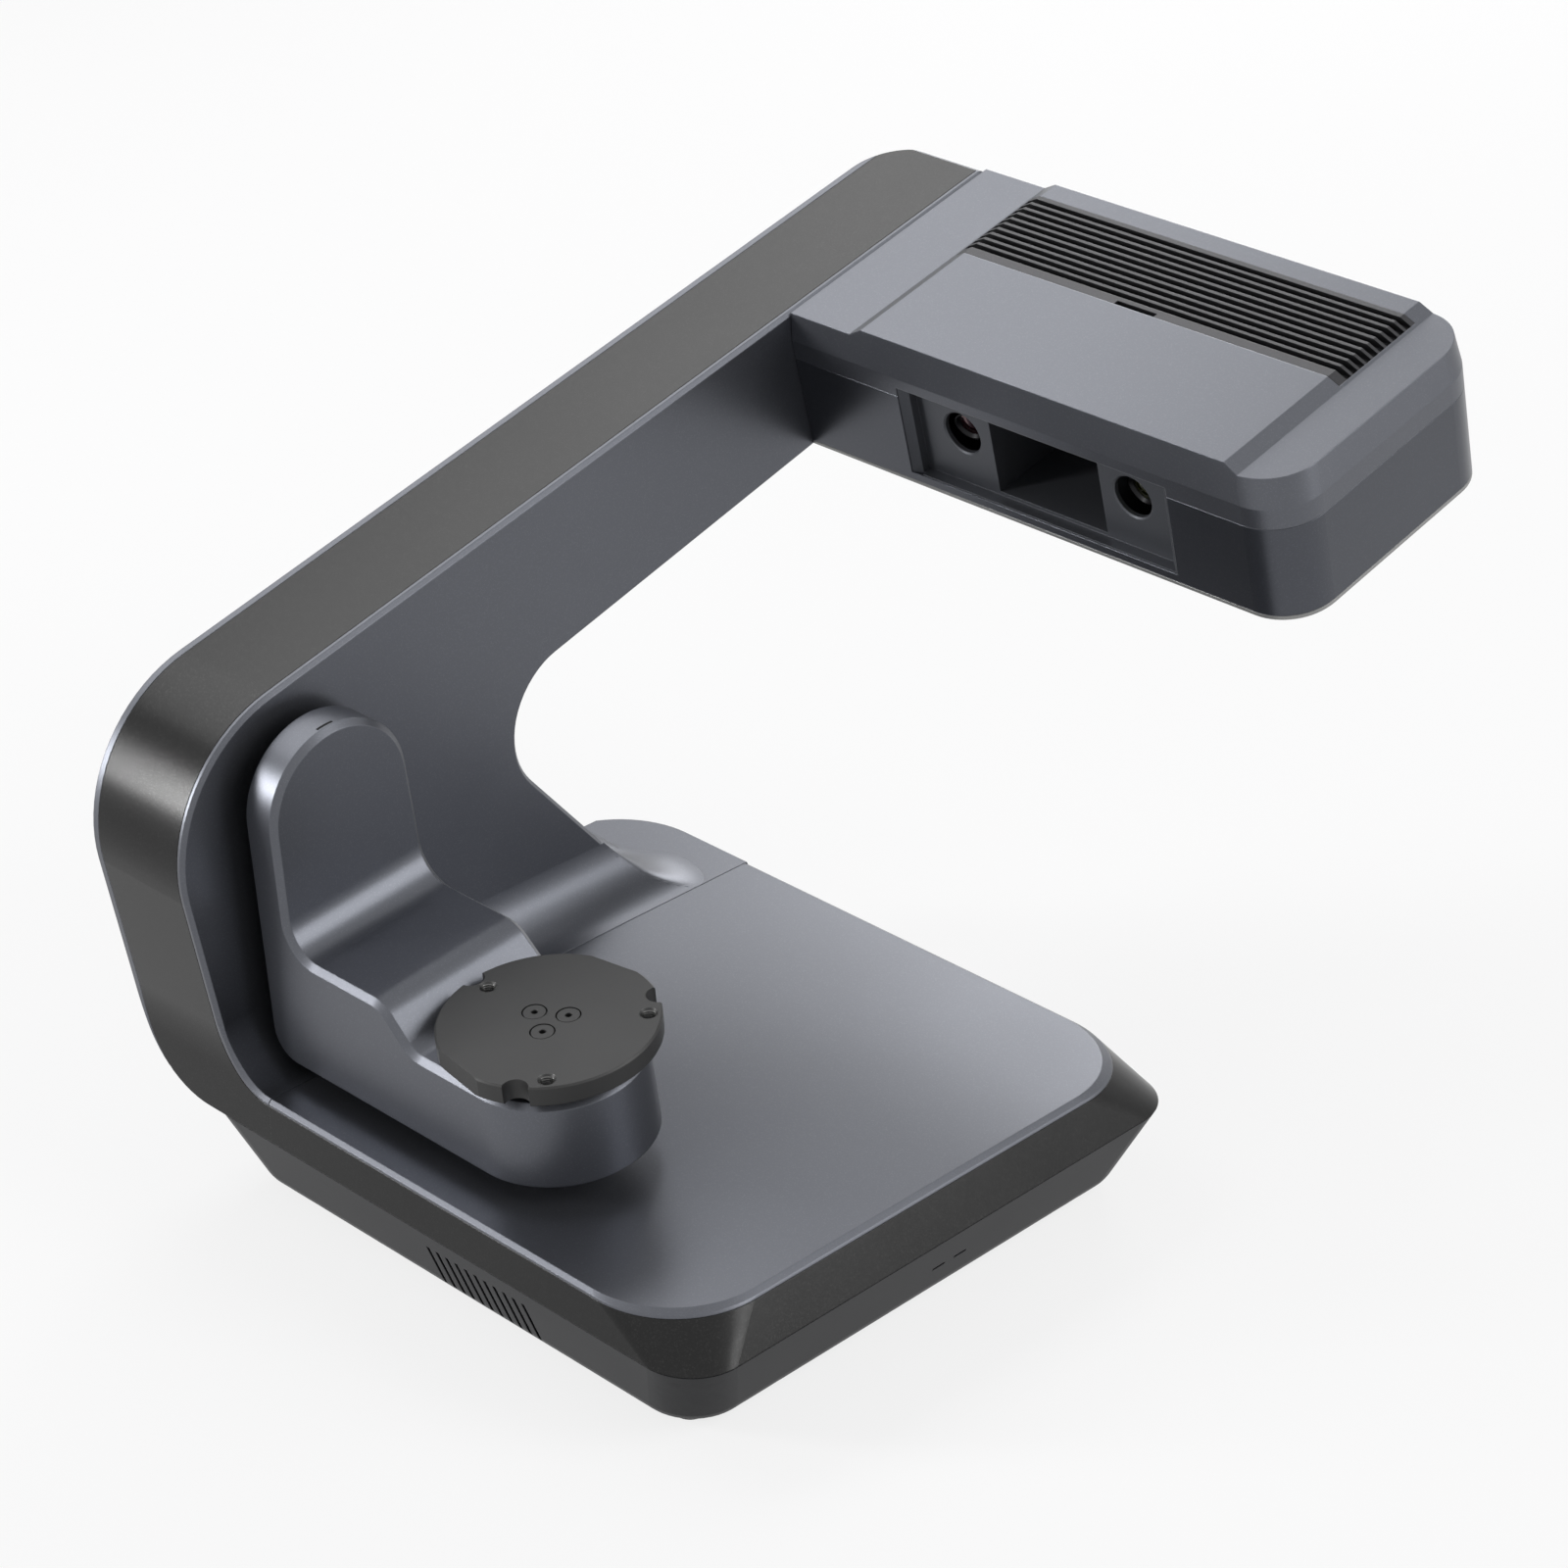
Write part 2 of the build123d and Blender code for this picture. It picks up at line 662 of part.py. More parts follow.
def make_lower_case():
    case = slab_z(head_plan(0), rim_top + seam, case_top)
    case -= slab_z(head_plan(wall, wall), rim_top - 1, case_top + 1)
    for x, y in head_boss_spots:
        case += Pos(x, y) * rod(5, rim_top + seam, rim_top + 18)
        reach = 22 if x < 0 else 26
        case += block(min(x, x + reach * (1 if x > 0 else -1)), max(x, x + reach * (1 if x > 0 else -1)),
                      y - 1.5, y + 1.5, rim_top + seam, rim_top + 16) & slab_z(head_plan(1), 0, far)
        case -= Pos(x, y) * rod(screw_core, 0, rim_top + 12)
    case -= block(window_x0, window_x1, head_front - 1, head_front + wall + 1,
                  window_z0, case_top + 1)
    case -= block(head_left - 1, head_left + wall + 1, head_front + 40, arm_reach - 12,
                  rim_top + 1, case_top + 1)
    return case


def make_bottom_plate():
    plate = slab_z(head_plan(0), head_bottom, rim_top)
    for x, y in head_boss_spots:
        plate -= Pos(x, y) * (rod(screw_core + 0.2, 0, far) + rod(3.0, 0, head_bottom + 1.8))
    low = plate.faces().sort_by(Axis.Z)[0]
    rim = [edge for edge in low.edges() if (edge @ 0.5).X > head_left + 1]
    return chamfer(rim, 1.2)


def lens_place(side):
    """Where a camera's optical axis leaves the head: +Z looks at the turntable."""
    return Pos(table_x + side * camera_spread / 2, head_front + window_recess + 4,
               head_bottom + camera_height) \
        * Rot(0, 0, side * -camera_toe) * Rot(90 + optics_tilt, 0, 0)


projector_place = Pos(table_x, head_front + window_recess + pocket_depth + 6,
                      head_bottom + projector_height) * Rot(90 + optics_tilt, 0, 0)


def camera_hole(side):
    """Chamfered hole in the bezel in front of one camera."""
    hole = rod(camera_port, -10, 20) + Cone(camera_port + 2 * port_chamfer, camera_port, 2 * port_chamfer)
    return Pos(table_x + side * camera_spread / 2, head_front + window_recess,
               head_bottom + camera_height) * Rot(-90, 0, 0) * hole


def make_bezel():
    recess_y = head_front + window_recess
    pocket_back = recess_y + pocket_depth
    floor = window_z0 + window_ledge
    frame = block(window_x0 + seam, window_x1 - seam, head_front + 0.3, recess_y + wall,
                  window_z0 + seam, window_z1 - seam)
    frame += block(window_x0 - 4, window_x1 + 4, head_front + wall + seam, recess_y + wall,
                   window_z0 - 4, window_z1 - seam)
    x0, x1 = table_x - pocket_width / 2, table_x + pocket_width / 2
    frame += block(x0 - wall, x1 + wall, recess_y, pocket_back + wall, window_z0, window_z1 - seam)
    frame -= block(window_x0 + window_lip, window_x1 - 1.2, head_front - 1, recess_y, floor, window_z1 + 1)
    frame -= block(x0, x1, recess_y - 1, pocket_back, floor + pocket_step, window_z1 - wall)
    frame -= slab_z(outline([(window_x0, head_front + 0.3, 0), (window_x0, head_front - 1, 0),
                             (window_x0 + window_lip + 1, head_front - 1, 0),
                             (window_x0 + window_lip + 1, head_front + 2.0, 0)]), window_z0, window_z1)
    for side in (-1, 1):
        frame -= camera_hole(side)
    return frame - projector_place * rod(projector_radius + 0.4, -12, 12)


keep("head_top_cover", at_head * make_top_cover())
keep("head_louvre_cover", at_head * make_louvre())
keep("head_lower_case", at_head * make_lower_case())
keep("head_bottom_plate", at_head * make_bottom_plate())
keep("head_front_bezel", at_head * make_bezel())

# ---------------------------------------------------------------------------
# Cradle: y and z from the swing axis, plate square to z
# ---------------------------------------------------------------------------

cradle_left = arm_inner_x + cradle_gap
near_face = cradle_left + upright_thickness
ledge_z = ledge_rise - plate_drop
deck_z = -deck_drop - plate_drop
foot_z = -foot_drop - plate_drop


def cradle_front(inset):
    """Front view: upright, cove, ledge, slope, deck and foot."""
    end = table_x + plate_radius + 20
    return outline([
        (cradle_left, foot_z + inset, heel_radius - inset),
        (end, foot_z + inset, 0),
        (end, deck_z - inset, 0),
        (arm_inner_x + slope_end - 0.4 * inset, deck_z - inset, 5 + inset),
        (arm_inner_x + ledge_end - 0.4 * inset, ledge_z - inset, 5 - inset),
        (near_face - inset, ledge_z - inset, cove_small + inset),
        (near_face - inset, upright_radius + 5, 0),
        (cradle_left, upright_radius + 5, 0)])


def half_width(inset, z):
    """Half the cradle's width at a height below the swing axis."""
    spread = radians(cradle_flare)
    return (upright_radius - inset - z * sin(spread)) / cos(spread)


def cradle_side(inset):
    """Side view: round top, sides opening to the foot."""
    spread = radians(cradle_flare)
    r = upright_radius - inset
    top_y, top_z = r * cos(spread), r * sin(spread)
    low_y = half_width(inset, -200)
    side = [Line((top_y, top_z), (low_y, -200)), Line((low_y, -200), (-low_y, -200)),
            Line((-low_y, -200), (-top_y, top_z)), ThreePointArc((-top_y, top_z), (0, r), (top_y, top_z))]
    return make_face(Wire(side))


def cradle_block(inset):
    """The whole cradle as a solid, drawn in by a margin except at its back."""
    straight = slab_x(cradle_side(inset), cradle_left, table_x)
    round_end = Pos(table_x, 0, -100) * Cone(half_width(inset, -200), half_width(inset, 0), 200)
    body = straight + (round_end & block(table_x, far, -far, far, -200, 0))
    return body & slab_y(cradle_front(inset), -80, 80)


def contour_edges(body):
    """Edges between the stepped front profile and the cradle's sides."""
    found = []
    for edge in body.edges():
        box = edge.bounding_box()
        across = box.max.Y - box.min.Y > 20 and box.max.X - box.min.X < 0.01 \
            and box.max.Z - box.min.Z < 0.01
        if across or box.max.X < cradle_left + 0.5 or (edge @ 0.5).Z < deck_z - 0.1:
            continue
        if edge.geom_type == GeomType.LINE and abs(box.max.X - box.min.X - upright_thickness) < 0.1:
            continue
        found.append(edge)
    return found


def make_cradle_cover():
    body = cradle_block(0)
    body = chamfer(contour_edges(body), cradle_chamfer)
    at_plate = Pos(table_x, 0)
    body -= at_plate * rod(plate_well, deck_z, deck_z + 60)
    inner = cradle_block(cradle_wall) - at_plate * rod(plate_well + cradle_wall, deck_z - 0.01, 0)
    body -= inner
    body -= at_plate * rod(hub_radius + 2, deck_z - 10, deck_z + 10)
    for side in (-1, 1):
        body -= Pos(table_x - 30, side * 34) * rod(deck_hole, deck_z - cradle_wall + 1.2, deck_z + 1)
    return body - Pos(near_face - 4.3, 0, upright_radius) * Box(pin_slot_width, pin_slot_length, 3.2)


def make_back_cover():
    plate = cradle_block(cradle_wall + seam) & block(cradle_left, cradle_left + 2.5, -80, 80, -200, 80)
    return plate - lay_along_x * rod(hub_radius + 0.5, -200, 0)


frame_top = -plate_drop - 30.0
frame_thickness = 5.0
motor_height = 19.4
table_pitch_gap = gear_module * (table_teeth + table_pinion_teeth) / 2
swing_pitch_gap = gear_module * (swing_teeth + swing_pinion_teeth) / 2
pinion_x = table_x - table_pitch_gap
leg_x0 = cradle_left + 2.5
leg_x1 = leg_x0 + 9.0
gear_x = arm_inner_x - 12.0             # swing gear, inside the arm
frame_x0 = gear_x - 14.0                # arm frame's plate
frame_x1 = gear_x - 2.0
gear_top = -plate_drop - 21.0           # turntable gear's upper face
bearing_outer = 12.0


def make_cradle_frame():
    fitted = cradle_block(cradle_wall + seam)
    leg = fitted & block(leg_x0 + seam, leg_x1, -80, 80, frame_top - 20, 80)
    deck = fitted & block(leg_x0 + seam, far, -80, 80, frame_top - frame_thickness, frame_top)
    rib = block(leg_x1 - 1, leg_x1 + 10, -3, 3, frame_top - 1, frame_top + 30)
    frame = leg + deck + (rib & fitted)
    frame -= lay_along_x * rod(shaft_radius, -200, 0)
    frame -= Pos(pinion_x, 0) * rod(11.1, -200, 0)
    frame -= Pos(table_x, 0) * rod(bearing_outer, -200, 0)
    return frame


def stepper(width, length, pilot, bore_depth):
    """Stepper motor, mounting face at z = 0 and body below it."""
    body = slab_z(outline([(x * width / 2, y * width / 2, 4) for x, y in
                           ((-1, -1), (1, -1), (1, 1), (-1, 1))]), -length, 0)
    body += rod(pilot, -1, 1.8)
    return body - rod(motor_shaft_radius + running_fit, -bore_depth, 3)


def pinion(teeth, first_angle, foot, start, top):
    """Pinion with its motor shaft from `foot` to `top`, teeth from `start`."""
    teeth_part = Pos(0, 0, start) * gear(teeth, motor_shaft_radius - 0.5, first_angle)
    return teeth_part + rod(motor_shaft_radius, foot, top)


def make_shaft():
    core = rod(shaft_radius, frame_x0 - 18, leg_x1)
    collar = rod(hub_radius - 3, arm_inner_x - 2, leg_x0 + 0.1)
    return lay_along_x * (core + collar)


def make_plate():
    plate = rod(plate_radius, -plate_thickness, 0)
    plate = chamfer(plate.edges(), 0.8)
    for sign in (-1, 1):
        angle = sign * plate_flat_angle
        plate -= Rot(0, 0, angle) * block(plate_flat, plate_radius + 5, -40, 40, -11, 1)
    for angle in (60, 180, 300):
        plate -= Rot(0, 0, angle) * Pos(plate_radius, 0) * rod(notch_radius, -11, 1)
    for x, y in tapped_spots:
        plate -= Pos(x, y) * rod(tapped_radius, -11, 1)
        plate -= Pos(x, y, -0.4) * Cone(tapped_radius, tapped_mouth, 0.8)
    for angle in (60, 180, 300):
        spot = Rot(0, 0, angle) * Pos(screw_circle, 0)
        plate -= spot * rod(screw_head + 0.15, -screw_head_depth, 1)
        plate -= spot * rod(screw_shank + 0.1, -11, 1)
    return plate


def make_plate_screws():
    screws = []
    for angle in (60, 180, 300):
        body = rod(screw_head, -screw_head_depth, -0.3) + rod(screw_shank, -18, -screw_head_depth)
        body -= rod(2.2, -3, 1)
        screws.append(Rot(0, 0, angle) * Pos(screw_circle, 0) * body)
    return Compound(screws)


spindle_foot = -44.0


def make_spindle():
    body = rod(hub_radius, -plate_thickness - 9.5, -plate_thickness - 0.05)
    body += rod(spindle_radius, spindle_foot, -plate_thickness)
    for angle in (60, 180, 300):
        body -= Rot(0, 0, angle) * Pos(screw_circle, 0) * rod(screw_shank, -18, 0)
    return body


keep("cradle_cover", at_cradle * make_cradle_cover())
keep("cradle_back_cover", at_cradle * make_back_cover())
keep("cradle_frame", at_cradle * make_cradle_frame())
keep("swing_shaft", at_axis * make_shaft())
keep("swing_gear", at_axis * Pos(gear_x, 0, 0) * lay_along_x * gear(swing_teeth, shaft_radius))
keep("swing_bearing", at_axis * lay_along_x * tube(bearing_outer, shaft_radius + running_fit,
                                                  frame_x0 - 16, frame_x1))
keep("swing_motor", at_axis * Pos(frame_x0, 0, -swing_pitch_gap) * lay_along_x
     * stepper(42.3, 32, 11, 12))
keep("swing_pinion", at_axis * Pos(frame_x0, 0, -swing_pitch_gap) * lay_along_x
     * pinion(swing_pinion_teeth, 180 / swing_pinion_teeth, -10, gear_x - frame_x0,
              gear_x - frame_x0 + gear_face + 2))
keep("turntable_motor", at_cradle * Pos(pinion_x, 0, frame_top - frame_thickness)
     * stepper(35, motor_height, 11, 8))
keep("turntable_pinion", at_cradle * Pos(pinion_x, 0, frame_top - frame_thickness)
     * pinion(table_pinion_teeth, 180 / table_pinion_teeth, -6,
              gear_top - gear_face - frame_top + frame_thickness,
              gear_top - frame_top + frame_thickness + 1))
keep("turntable_bearing", at_table * tube(bearing_outer, spindle_radius + running_fit, -41, -28.2))
keep("turntable_plate", at_table * make_plate())
keep("plate_screws", at_table * make_plate_screws())
keep("turntable_spindle", at_table * make_spindle())
keep("turntable_gear", at_table * Pos(0, 0, -27) * gear(table_teeth, spindle_radius))

# ---------------------------------------------------------------------------
# Arm frame and the base's inside
# ---------------------------------------------------------------------------

chassis_top = chassis_z + chassis_thickness
flange_low, flange_high = -14.0, -8.0
frame_margin = 9.0
frame_cutout = 44.0                     # lightening windows along the upper arm
frame_cutout_top = arm_top - 18.8
frame_cutout_low = arm_top - 50.8
leg_windows_front = 44.0                # two windows in the lower leg, with a bar between them
leg_windows_back = leg_back_foot - 121.7
leg_window_bar = 12.0
frame_bosses = [(20.0, 60.0), (leg_back_foot - 111.7, 60.0), (leg_back_foot - 146.7, 165.0)]
frame_bosses += [arm_point(arm_reach - back, arm_top - 19.8) for back in (338.5, 265.5, 138.5, 46.5)]
pillar_spots = [(arm_inner_x + dx, y) for dx in (11.7, 47.7) for y in (50.0, leg_back_foot - 26.7)]


def make_arm_frame():
    frame = slab_x(arm_outline(frame_margin, flange_low), frame_x0, frame_x1)
    for back in (322.5, 252.5, 198.5):
        pane = slab_x(rounded(arm_reach - back, arm_reach - back + frame_cutout, frame_cutout_low,
                              frame_cutout_top, 8), frame_x0 - 1, frame_x1 + 1)
        frame -= Rot(arm_pitch, 0, 0) * pane
    leg_window = (leg_windows_back - leg_windows_front - leg_window_bar) / 2
    for start in (leg_windows_front, leg_windows_back - leg_window):
        frame -= slab_x(rounded(start, start + leg_window, 18, 68, min(12, leg_window / 2 - 1)),
                        frame_x0 - 1, frame_x1 + 1)
    frame += block(frame_x0, -58, 30, leg_back_foot - 6.7, flange_low, flange_high)
    for y in (36.0, 140.0, leg_back_foot - 17.7):
        frame += slab_x(outline([(y, flange_high - 1, 0), (y + 6, flange_high - 1, 0),
                                 (y + 6, flange_high + 2, 0), (y, flange_high + 2, 0)]), frame_x1 - 1, -62)
    for x, y in pillar_spots:
        frame += Pos(x, y) * rod(8, chassis_top, flange_low + 1)
    for y, z in frame_bosses:
        frame += Pos(0, y, z) * lay_along_x * rod(5, arm_outer_x + wall + 0.1,
                                                  arm_inner_x - panel_edge - 0.1)
    frame -= at_axis_base * lay_along_x * rod(bearing_outer, -300, 0)
    frame -= at_axis_base * Pos(0, 0, -swing_pitch_gap) * lay_along_x * rod(11.1, -300, 0)
    return frame


def make_chassis():
    plate = slab_z(rounded(tray_left_x + 24, tray_right_x - 24, 24, band_back - 24, 14),
                   chassis_z, chassis_top)
    for x, y in boss_spots:
        plate -= Pos(x, y) * rod(screw_core, chassis_z - 1, chassis_top + 1)
    return plate


fan_x = arm_inner_x + vent_from_arm + vent_pitch * (vent_count - 1) / 2
fan_size = 38.0
fan_depth = 10.0
rotor_radius = 16.5
rotor_hub = 9.0


def fan_frame():
    """Square fan frame, air along Z, from z = 0 up."""
    half = fan_size / 2
    frame = slab_z(rounded(-half, half, -half, half, 3), 0, fan_depth) - rod(rotor_radius + 1, -1, 11)
    frame += rod(rotor_hub, 0, 1.5) + block(-half + 1, half - 1, -1.5, 1.5, 0, 1.5)
    frame += block(-1.5, 1.5, -half + 1, half - 1, 0, 1.5)
    return frame + rod(2, 1, 4)


def fan_rotor():
    """Hub and seven blades."""
    rotor = rod(rotor_hub, 2, 9.5)
    for i in range(7):
        blade = Pos(rotor_hub + 3.4, 0, 5.7) * Rot(38, 0, 0) * Box(7.6, 8.5, 1.0)
        rotor += Rot(0, 0, i * 360 / 7) * blade
    rotor &= rod(rotor_radius, 1.8, 9.8)
    return rotor - rod(2 + running_fit, 0, 4.5)


at_base_fan = Pos(fan_x, 25.0, chassis_top + fan_size / 2 + 0.05) * lay_along_y


def make_board():
    low = chassis_top + 6
    board = block(-52, 42, 122, 236, low, low + 1.6)
    for x, y in ((-47, 127), (37, 127), (-47, 231), (37, 231)):
        board += Pos(x, y) * rod(3, chassis_top + 0.05, low + 0.5)
    parts = ((-20, 5, 165, 190, 3.5), (-45, -33, 150, 205, 9), (15, 35, 140, 148, 11),
             (15, 35, 160, 168, 11), (12, 24, 200, 212, 15), (-22, 2, 206, 226, 8))
    for x0, x1, y0, y1, tall in parts:
        board += block(x0, x1, y0, y1, low + 1.5, low + 1.6 + tall)
    return board


jack_radius = 3.2
jack_depth = 9.5


def make_inlet():
    w, h = inlet_half
    body = block(-w + 0.1, w - 0.1, -14, 0.5, -h + 0.1, h - 0.1)
    body += lay_along_y * rod(w + 1.4, 0.1, 1.2)
    body -= lay_along_y * rod(jack_radius, -jack_depth, 3)
    return body + lay_along_y * rod(1.05, -jack_depth - 0.1, -1)


rocker_axis = -2.0
rocker_throw = 13.0


def make_rocker_frame():
    w, h = rocker_half
    frame = block(-w + 0.1, w - 0.1, -16, 0.5, -h + 0.1, h - 0.1)
    frame += block(-w - 1.5, w + 1.5, 0.1, 1.2, -h - 1.5, h + 1.5)
    return frame - block(-w + 1.5, w - 1.5, -9, 3, -h + 1.5, h - 1.5)


def make_rocker():
    w = rocker_half[0] - 2.0
    h = rocker_half[1] - 2.1
    paddle = slab_y(rounded(-w, w, -h, h, 0.5), -6, 6)
    paddle -= Pos(0, 14.0, 0) * lay_along_x * rod(12.2, -w - 1, w + 1)
    paddle &= Pos(0, rocker_axis, 0) * lay_along_x * rod(6.6, -w - 1, w + 1)
    pivot = Pos(0, rocker_axis, 0)
    return pivot * Rot(-rocker_throw / 2, 0, 0) * pivot.inverse() * paddle


def make_port():
    w, h = port_half
    body = block(-w + 0.1, w - 0.1, -12, 0.6, -h + 0.1, h - 0.1)
    socket = slab_y(outline([(-4.6, -1.7, 1.6), (4.6, -1.7, 1.6), (4.6, 1.7, 1.6), (-4.6, 1.7, 1.6)]), -9, 3)
    return body - socket + block(-3.4, 3.4, -9.1, -2, -0.4, 0.4)


keep("arm_frame", at_base * make_arm_frame())
keep("base_chassis", at_base * make_chassis())
keep("control_board", at_base * make_board())
keep("base_fan_frame", at_base * at_base_fan * fan_frame())
keep("base_fan_rotor", at_base * at_base_fan * fan_rotor())
keep("power_inlet", at_base * at_rear * Pos(inlet_x, 0, 0) * make_inlet())
keep("rocker_frame", at_base * at_rear * Pos(rocker_x, 0, 0) * make_rocker_frame())
keep("power_rocker", at_base * at_rear * Pos(rocker_x, 0, 0) * make_rocker())
keep("data_port", at_base * at_rear * Pos(port_x, 0, 0) * make_port())

# ---------------------------------------------------------------------------
# Inside the head
# ---------------------------------------------------------------------------

deck_low = head_bottom + 7.5
deck_high = deck_low + 5
beam_low, beam_high = head_bottom + 15.5, head_bottom + 21.5
wall_y0, wall_y1 = head_front + 35.6, head_front + 41.6


def make_bracket():
    bracket = block(frame_x1 + 0.1, frame_x1 + 6, head_front + 58, arm_reach - 33,
                    head_bottom + 15.5, arm_top - 36)
    bracket += block(frame_x1 + 5, head_left + 16, head_front + 60, arm_reach - 36, beam_low, beam_high)
    bracket += block(head_left + 10, head_left + 16, head_front + 60, arm_reach - 36,
                     deck_low, beam_high)
    bracket += block(head_left + 10, head_right_x - 34, head_front + 60, arm_reach - 24,
                     deck_low, deck_high)
    bracket += block(table_x - 76, table_x + 76, wall_y0, head_front + 62, deck_low, deck_high)
    bracket += block(table_x - 76, table_x + 76, wall_y0, wall_y1, deck_low, head_bottom + 58)
    pocket_end = head_front + window_recess + pocket_depth + wall + 0.5
    bracket -= block(table_x - pocket_width / 2 - wall - 0.5, table_x + pocket_width / 2 + wall + 0.5,
                     wall_y0 - 1, pocket_end, deck_low - 1, far)
    bracket += block(table_x - 44, table_x + 44, pocket_end, pocket_end + 6, deck_low, head_bottom + 50)
    for x in (table_x - 70, table_x + 70):
        for y in (head_front + 50, arm_reach - 34):
            bracket += Pos(x, y) * rod(5, rim_top + 0.05, deck_low + 1)
    for side in (-1, 1):
        bracket -= lens_place(side) * rod(barrel_radius + 0.1, -80, 20)
    return bracket - projector_place * rod(projector_radius + 0.1, -20, 30)


def make_camera():
    body = block(-14, 14, -14, 14, -56, -37)
    body = chamfer(body.edges().filter_by(Axis.Z), 1.5)
    return body + block(-5, 5, -5, 5, -59, -55)


def make_barrel():
    body = rod(barrel_radius, -36.95, -1.5)
    body -= rod(glass_radius, -5, 0)
    return body - Pos(0, 0, -2.3) * Cone(glass_radius, barrel_radius - 0.6, 1.7)


def make_glass():
    disc = rod(glass_radius - 0.02, -4.95, -3.4)
    dome = Pos(0, 0, -16) * Sphere(13.6) & rod(glass_radius - 0.02, -3.5, 0)
    return disc + dome


def make_projector_body():
    body = block(-23, 23, -13.5, 13.5, -58, -10)
    body = chamfer(body.edges().filter_by(Axis.Z), 1.5)
    return body


def make_projector_lens():
    body = rod(projector_radius, -9.95, 8)
    body -= rod(11, 2, 9)
    return body + Pos(0, 0, -20) * Sphere(25) & rod(projector_radius, -9.95, 8)


def make_heat_sink():
    sink = block(-20, 20, -12.5, 12.5, -61, -58.05)
    for i in range(8):
        x = -19 + i * 5.2
        sink += block(x, x + 1.6, -12.5, 12.5, -74, -60)
    return sink


def make_head_board():
    low = deck_high + 9
    x0, x1 = head_left + 22, table_x - 78
    y0, y1 = head_front + 62, arm_reach - 28
    board = block(x0, x1, y0, y1, low, low + 1.6)
    for x in (x0 + 5, x1 - 5):
        for y in (y0 + 5, y1 - 5):
            board += Pos(x, y) * rod(2.5, deck_high + 0.05, low + 0.5)
    board += block(x0 + 14, x0 + 34, y0 + 16, y0 + 36, low + 1.5, low + 4)
    return board + block(x0 + 8, x0 + 16, y0 + 44, y0 + 52, low + 1.5, low + 9)


head_fan_x = table_x + 90.0
head_fan_y = arm_reach - 45.0
at_head_fan = Pos(head_fan_x, head_fan_y, deck_high + 30)


def make_head_fan():
    frame = fan_frame()
    for x in (-1, 1):
        for y in (-1, 1):
            frame += Pos(x * 15.5, y * 15.5) * rod(2.2, -29.95, 1)
    return frame


def make_head_screws():
    screws = []
    for x, y in head_boss_spots:
        screws.append(Pos(x, y, head_bottom + 1.8) * Rot(180, 0, 0)
                      * machine_screw(2.8, 1.5, screw_core, 9))
    return Compound(screws)


keep("optics_bracket", at_head * make_bracket())
for side, label in ((-1, "left"), (1, "right")):
    place = at_head * lens_place(side)
    keep(label + "_camera", place * make_camera())
    keep(label + "_barrel", place * make_barrel())
    keep(label + "_lens", place * make_glass())
keep("projector_body", at_head * projector_place * make_projector_body())
keep("projector_lens", at_head * projector_place * make_projector_lens())
keep("projector_heat_sink", at_head * projector_place * make_heat_sink())
keep("head_board", at_head * make_head_board())
keep("head_fan_frame", at_head * at_head_fan * make_head_fan())
keep("head_fan_rotor", at_head * at_head_fan * fan_rotor())
keep("head_screws", at_head * make_head_screws())

for name, shape in nodes.items():
    export_step(shape, f"parts/{name}.step")
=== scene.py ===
import json
import math
import bmesh
import bpy
import numpy as np
from mathutils import Matrix, Vector


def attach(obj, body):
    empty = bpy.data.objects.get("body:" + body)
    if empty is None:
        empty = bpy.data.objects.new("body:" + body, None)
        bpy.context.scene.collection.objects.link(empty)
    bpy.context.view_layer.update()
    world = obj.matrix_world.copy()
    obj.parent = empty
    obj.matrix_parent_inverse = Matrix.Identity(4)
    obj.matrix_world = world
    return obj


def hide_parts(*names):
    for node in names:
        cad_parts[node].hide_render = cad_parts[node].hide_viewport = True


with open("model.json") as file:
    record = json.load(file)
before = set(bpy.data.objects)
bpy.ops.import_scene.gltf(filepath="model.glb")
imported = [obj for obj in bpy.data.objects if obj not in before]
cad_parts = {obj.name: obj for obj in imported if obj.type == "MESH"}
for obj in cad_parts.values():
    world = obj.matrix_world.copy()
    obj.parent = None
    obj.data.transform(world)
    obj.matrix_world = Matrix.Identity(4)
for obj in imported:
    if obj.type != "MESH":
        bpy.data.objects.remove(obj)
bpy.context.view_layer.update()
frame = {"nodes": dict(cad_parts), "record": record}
print("frame loaded")


# small helpers

def linearColour(hexText, alpha=1.0):
    # each channel over 0.04045 is ((c + 0.055) / 1.055) to the power 2.4, and c / 12.92 below it
    channels = [int(hexText[i:i + 2], 16) / 255 for i in (1, 3, 5)]
    return [c / 12.92 if c <= 0.04045 else ((c + 0.055) / 1.055) ** 2.4 for c in channels] + [alpha]


def addNode(tree, kind, values=None, links=None, **settings):
    # one node with its settings, its socket values and what feeds its sockets
    node = tree.nodes.new(kind)
    for name, value in settings.items():
        setattr(node, name, value)
    for name, value in (values or {}).items():
        node.inputs[name].default_value = value
    for name, socket in (links or {}).items():
        tree.links.new(socket, node.inputs[name])
    return node


def emptyMaterial(name):
    material = bpy.data.materials.new(name)
    material.use_nodes = True
    material.node_tree.nodes.clear()
    return material, material.node_tree


# the camera stands where a person at the bench would see the scanner
cameraPlace = {
    "metres": (1.1878, -1.2304, 1.0865),
    "azimuth": 44.32,
    "elevation": 28.30,
    "lens": 95.51,
    "sensor": 36,
    "farthest": 30,
}


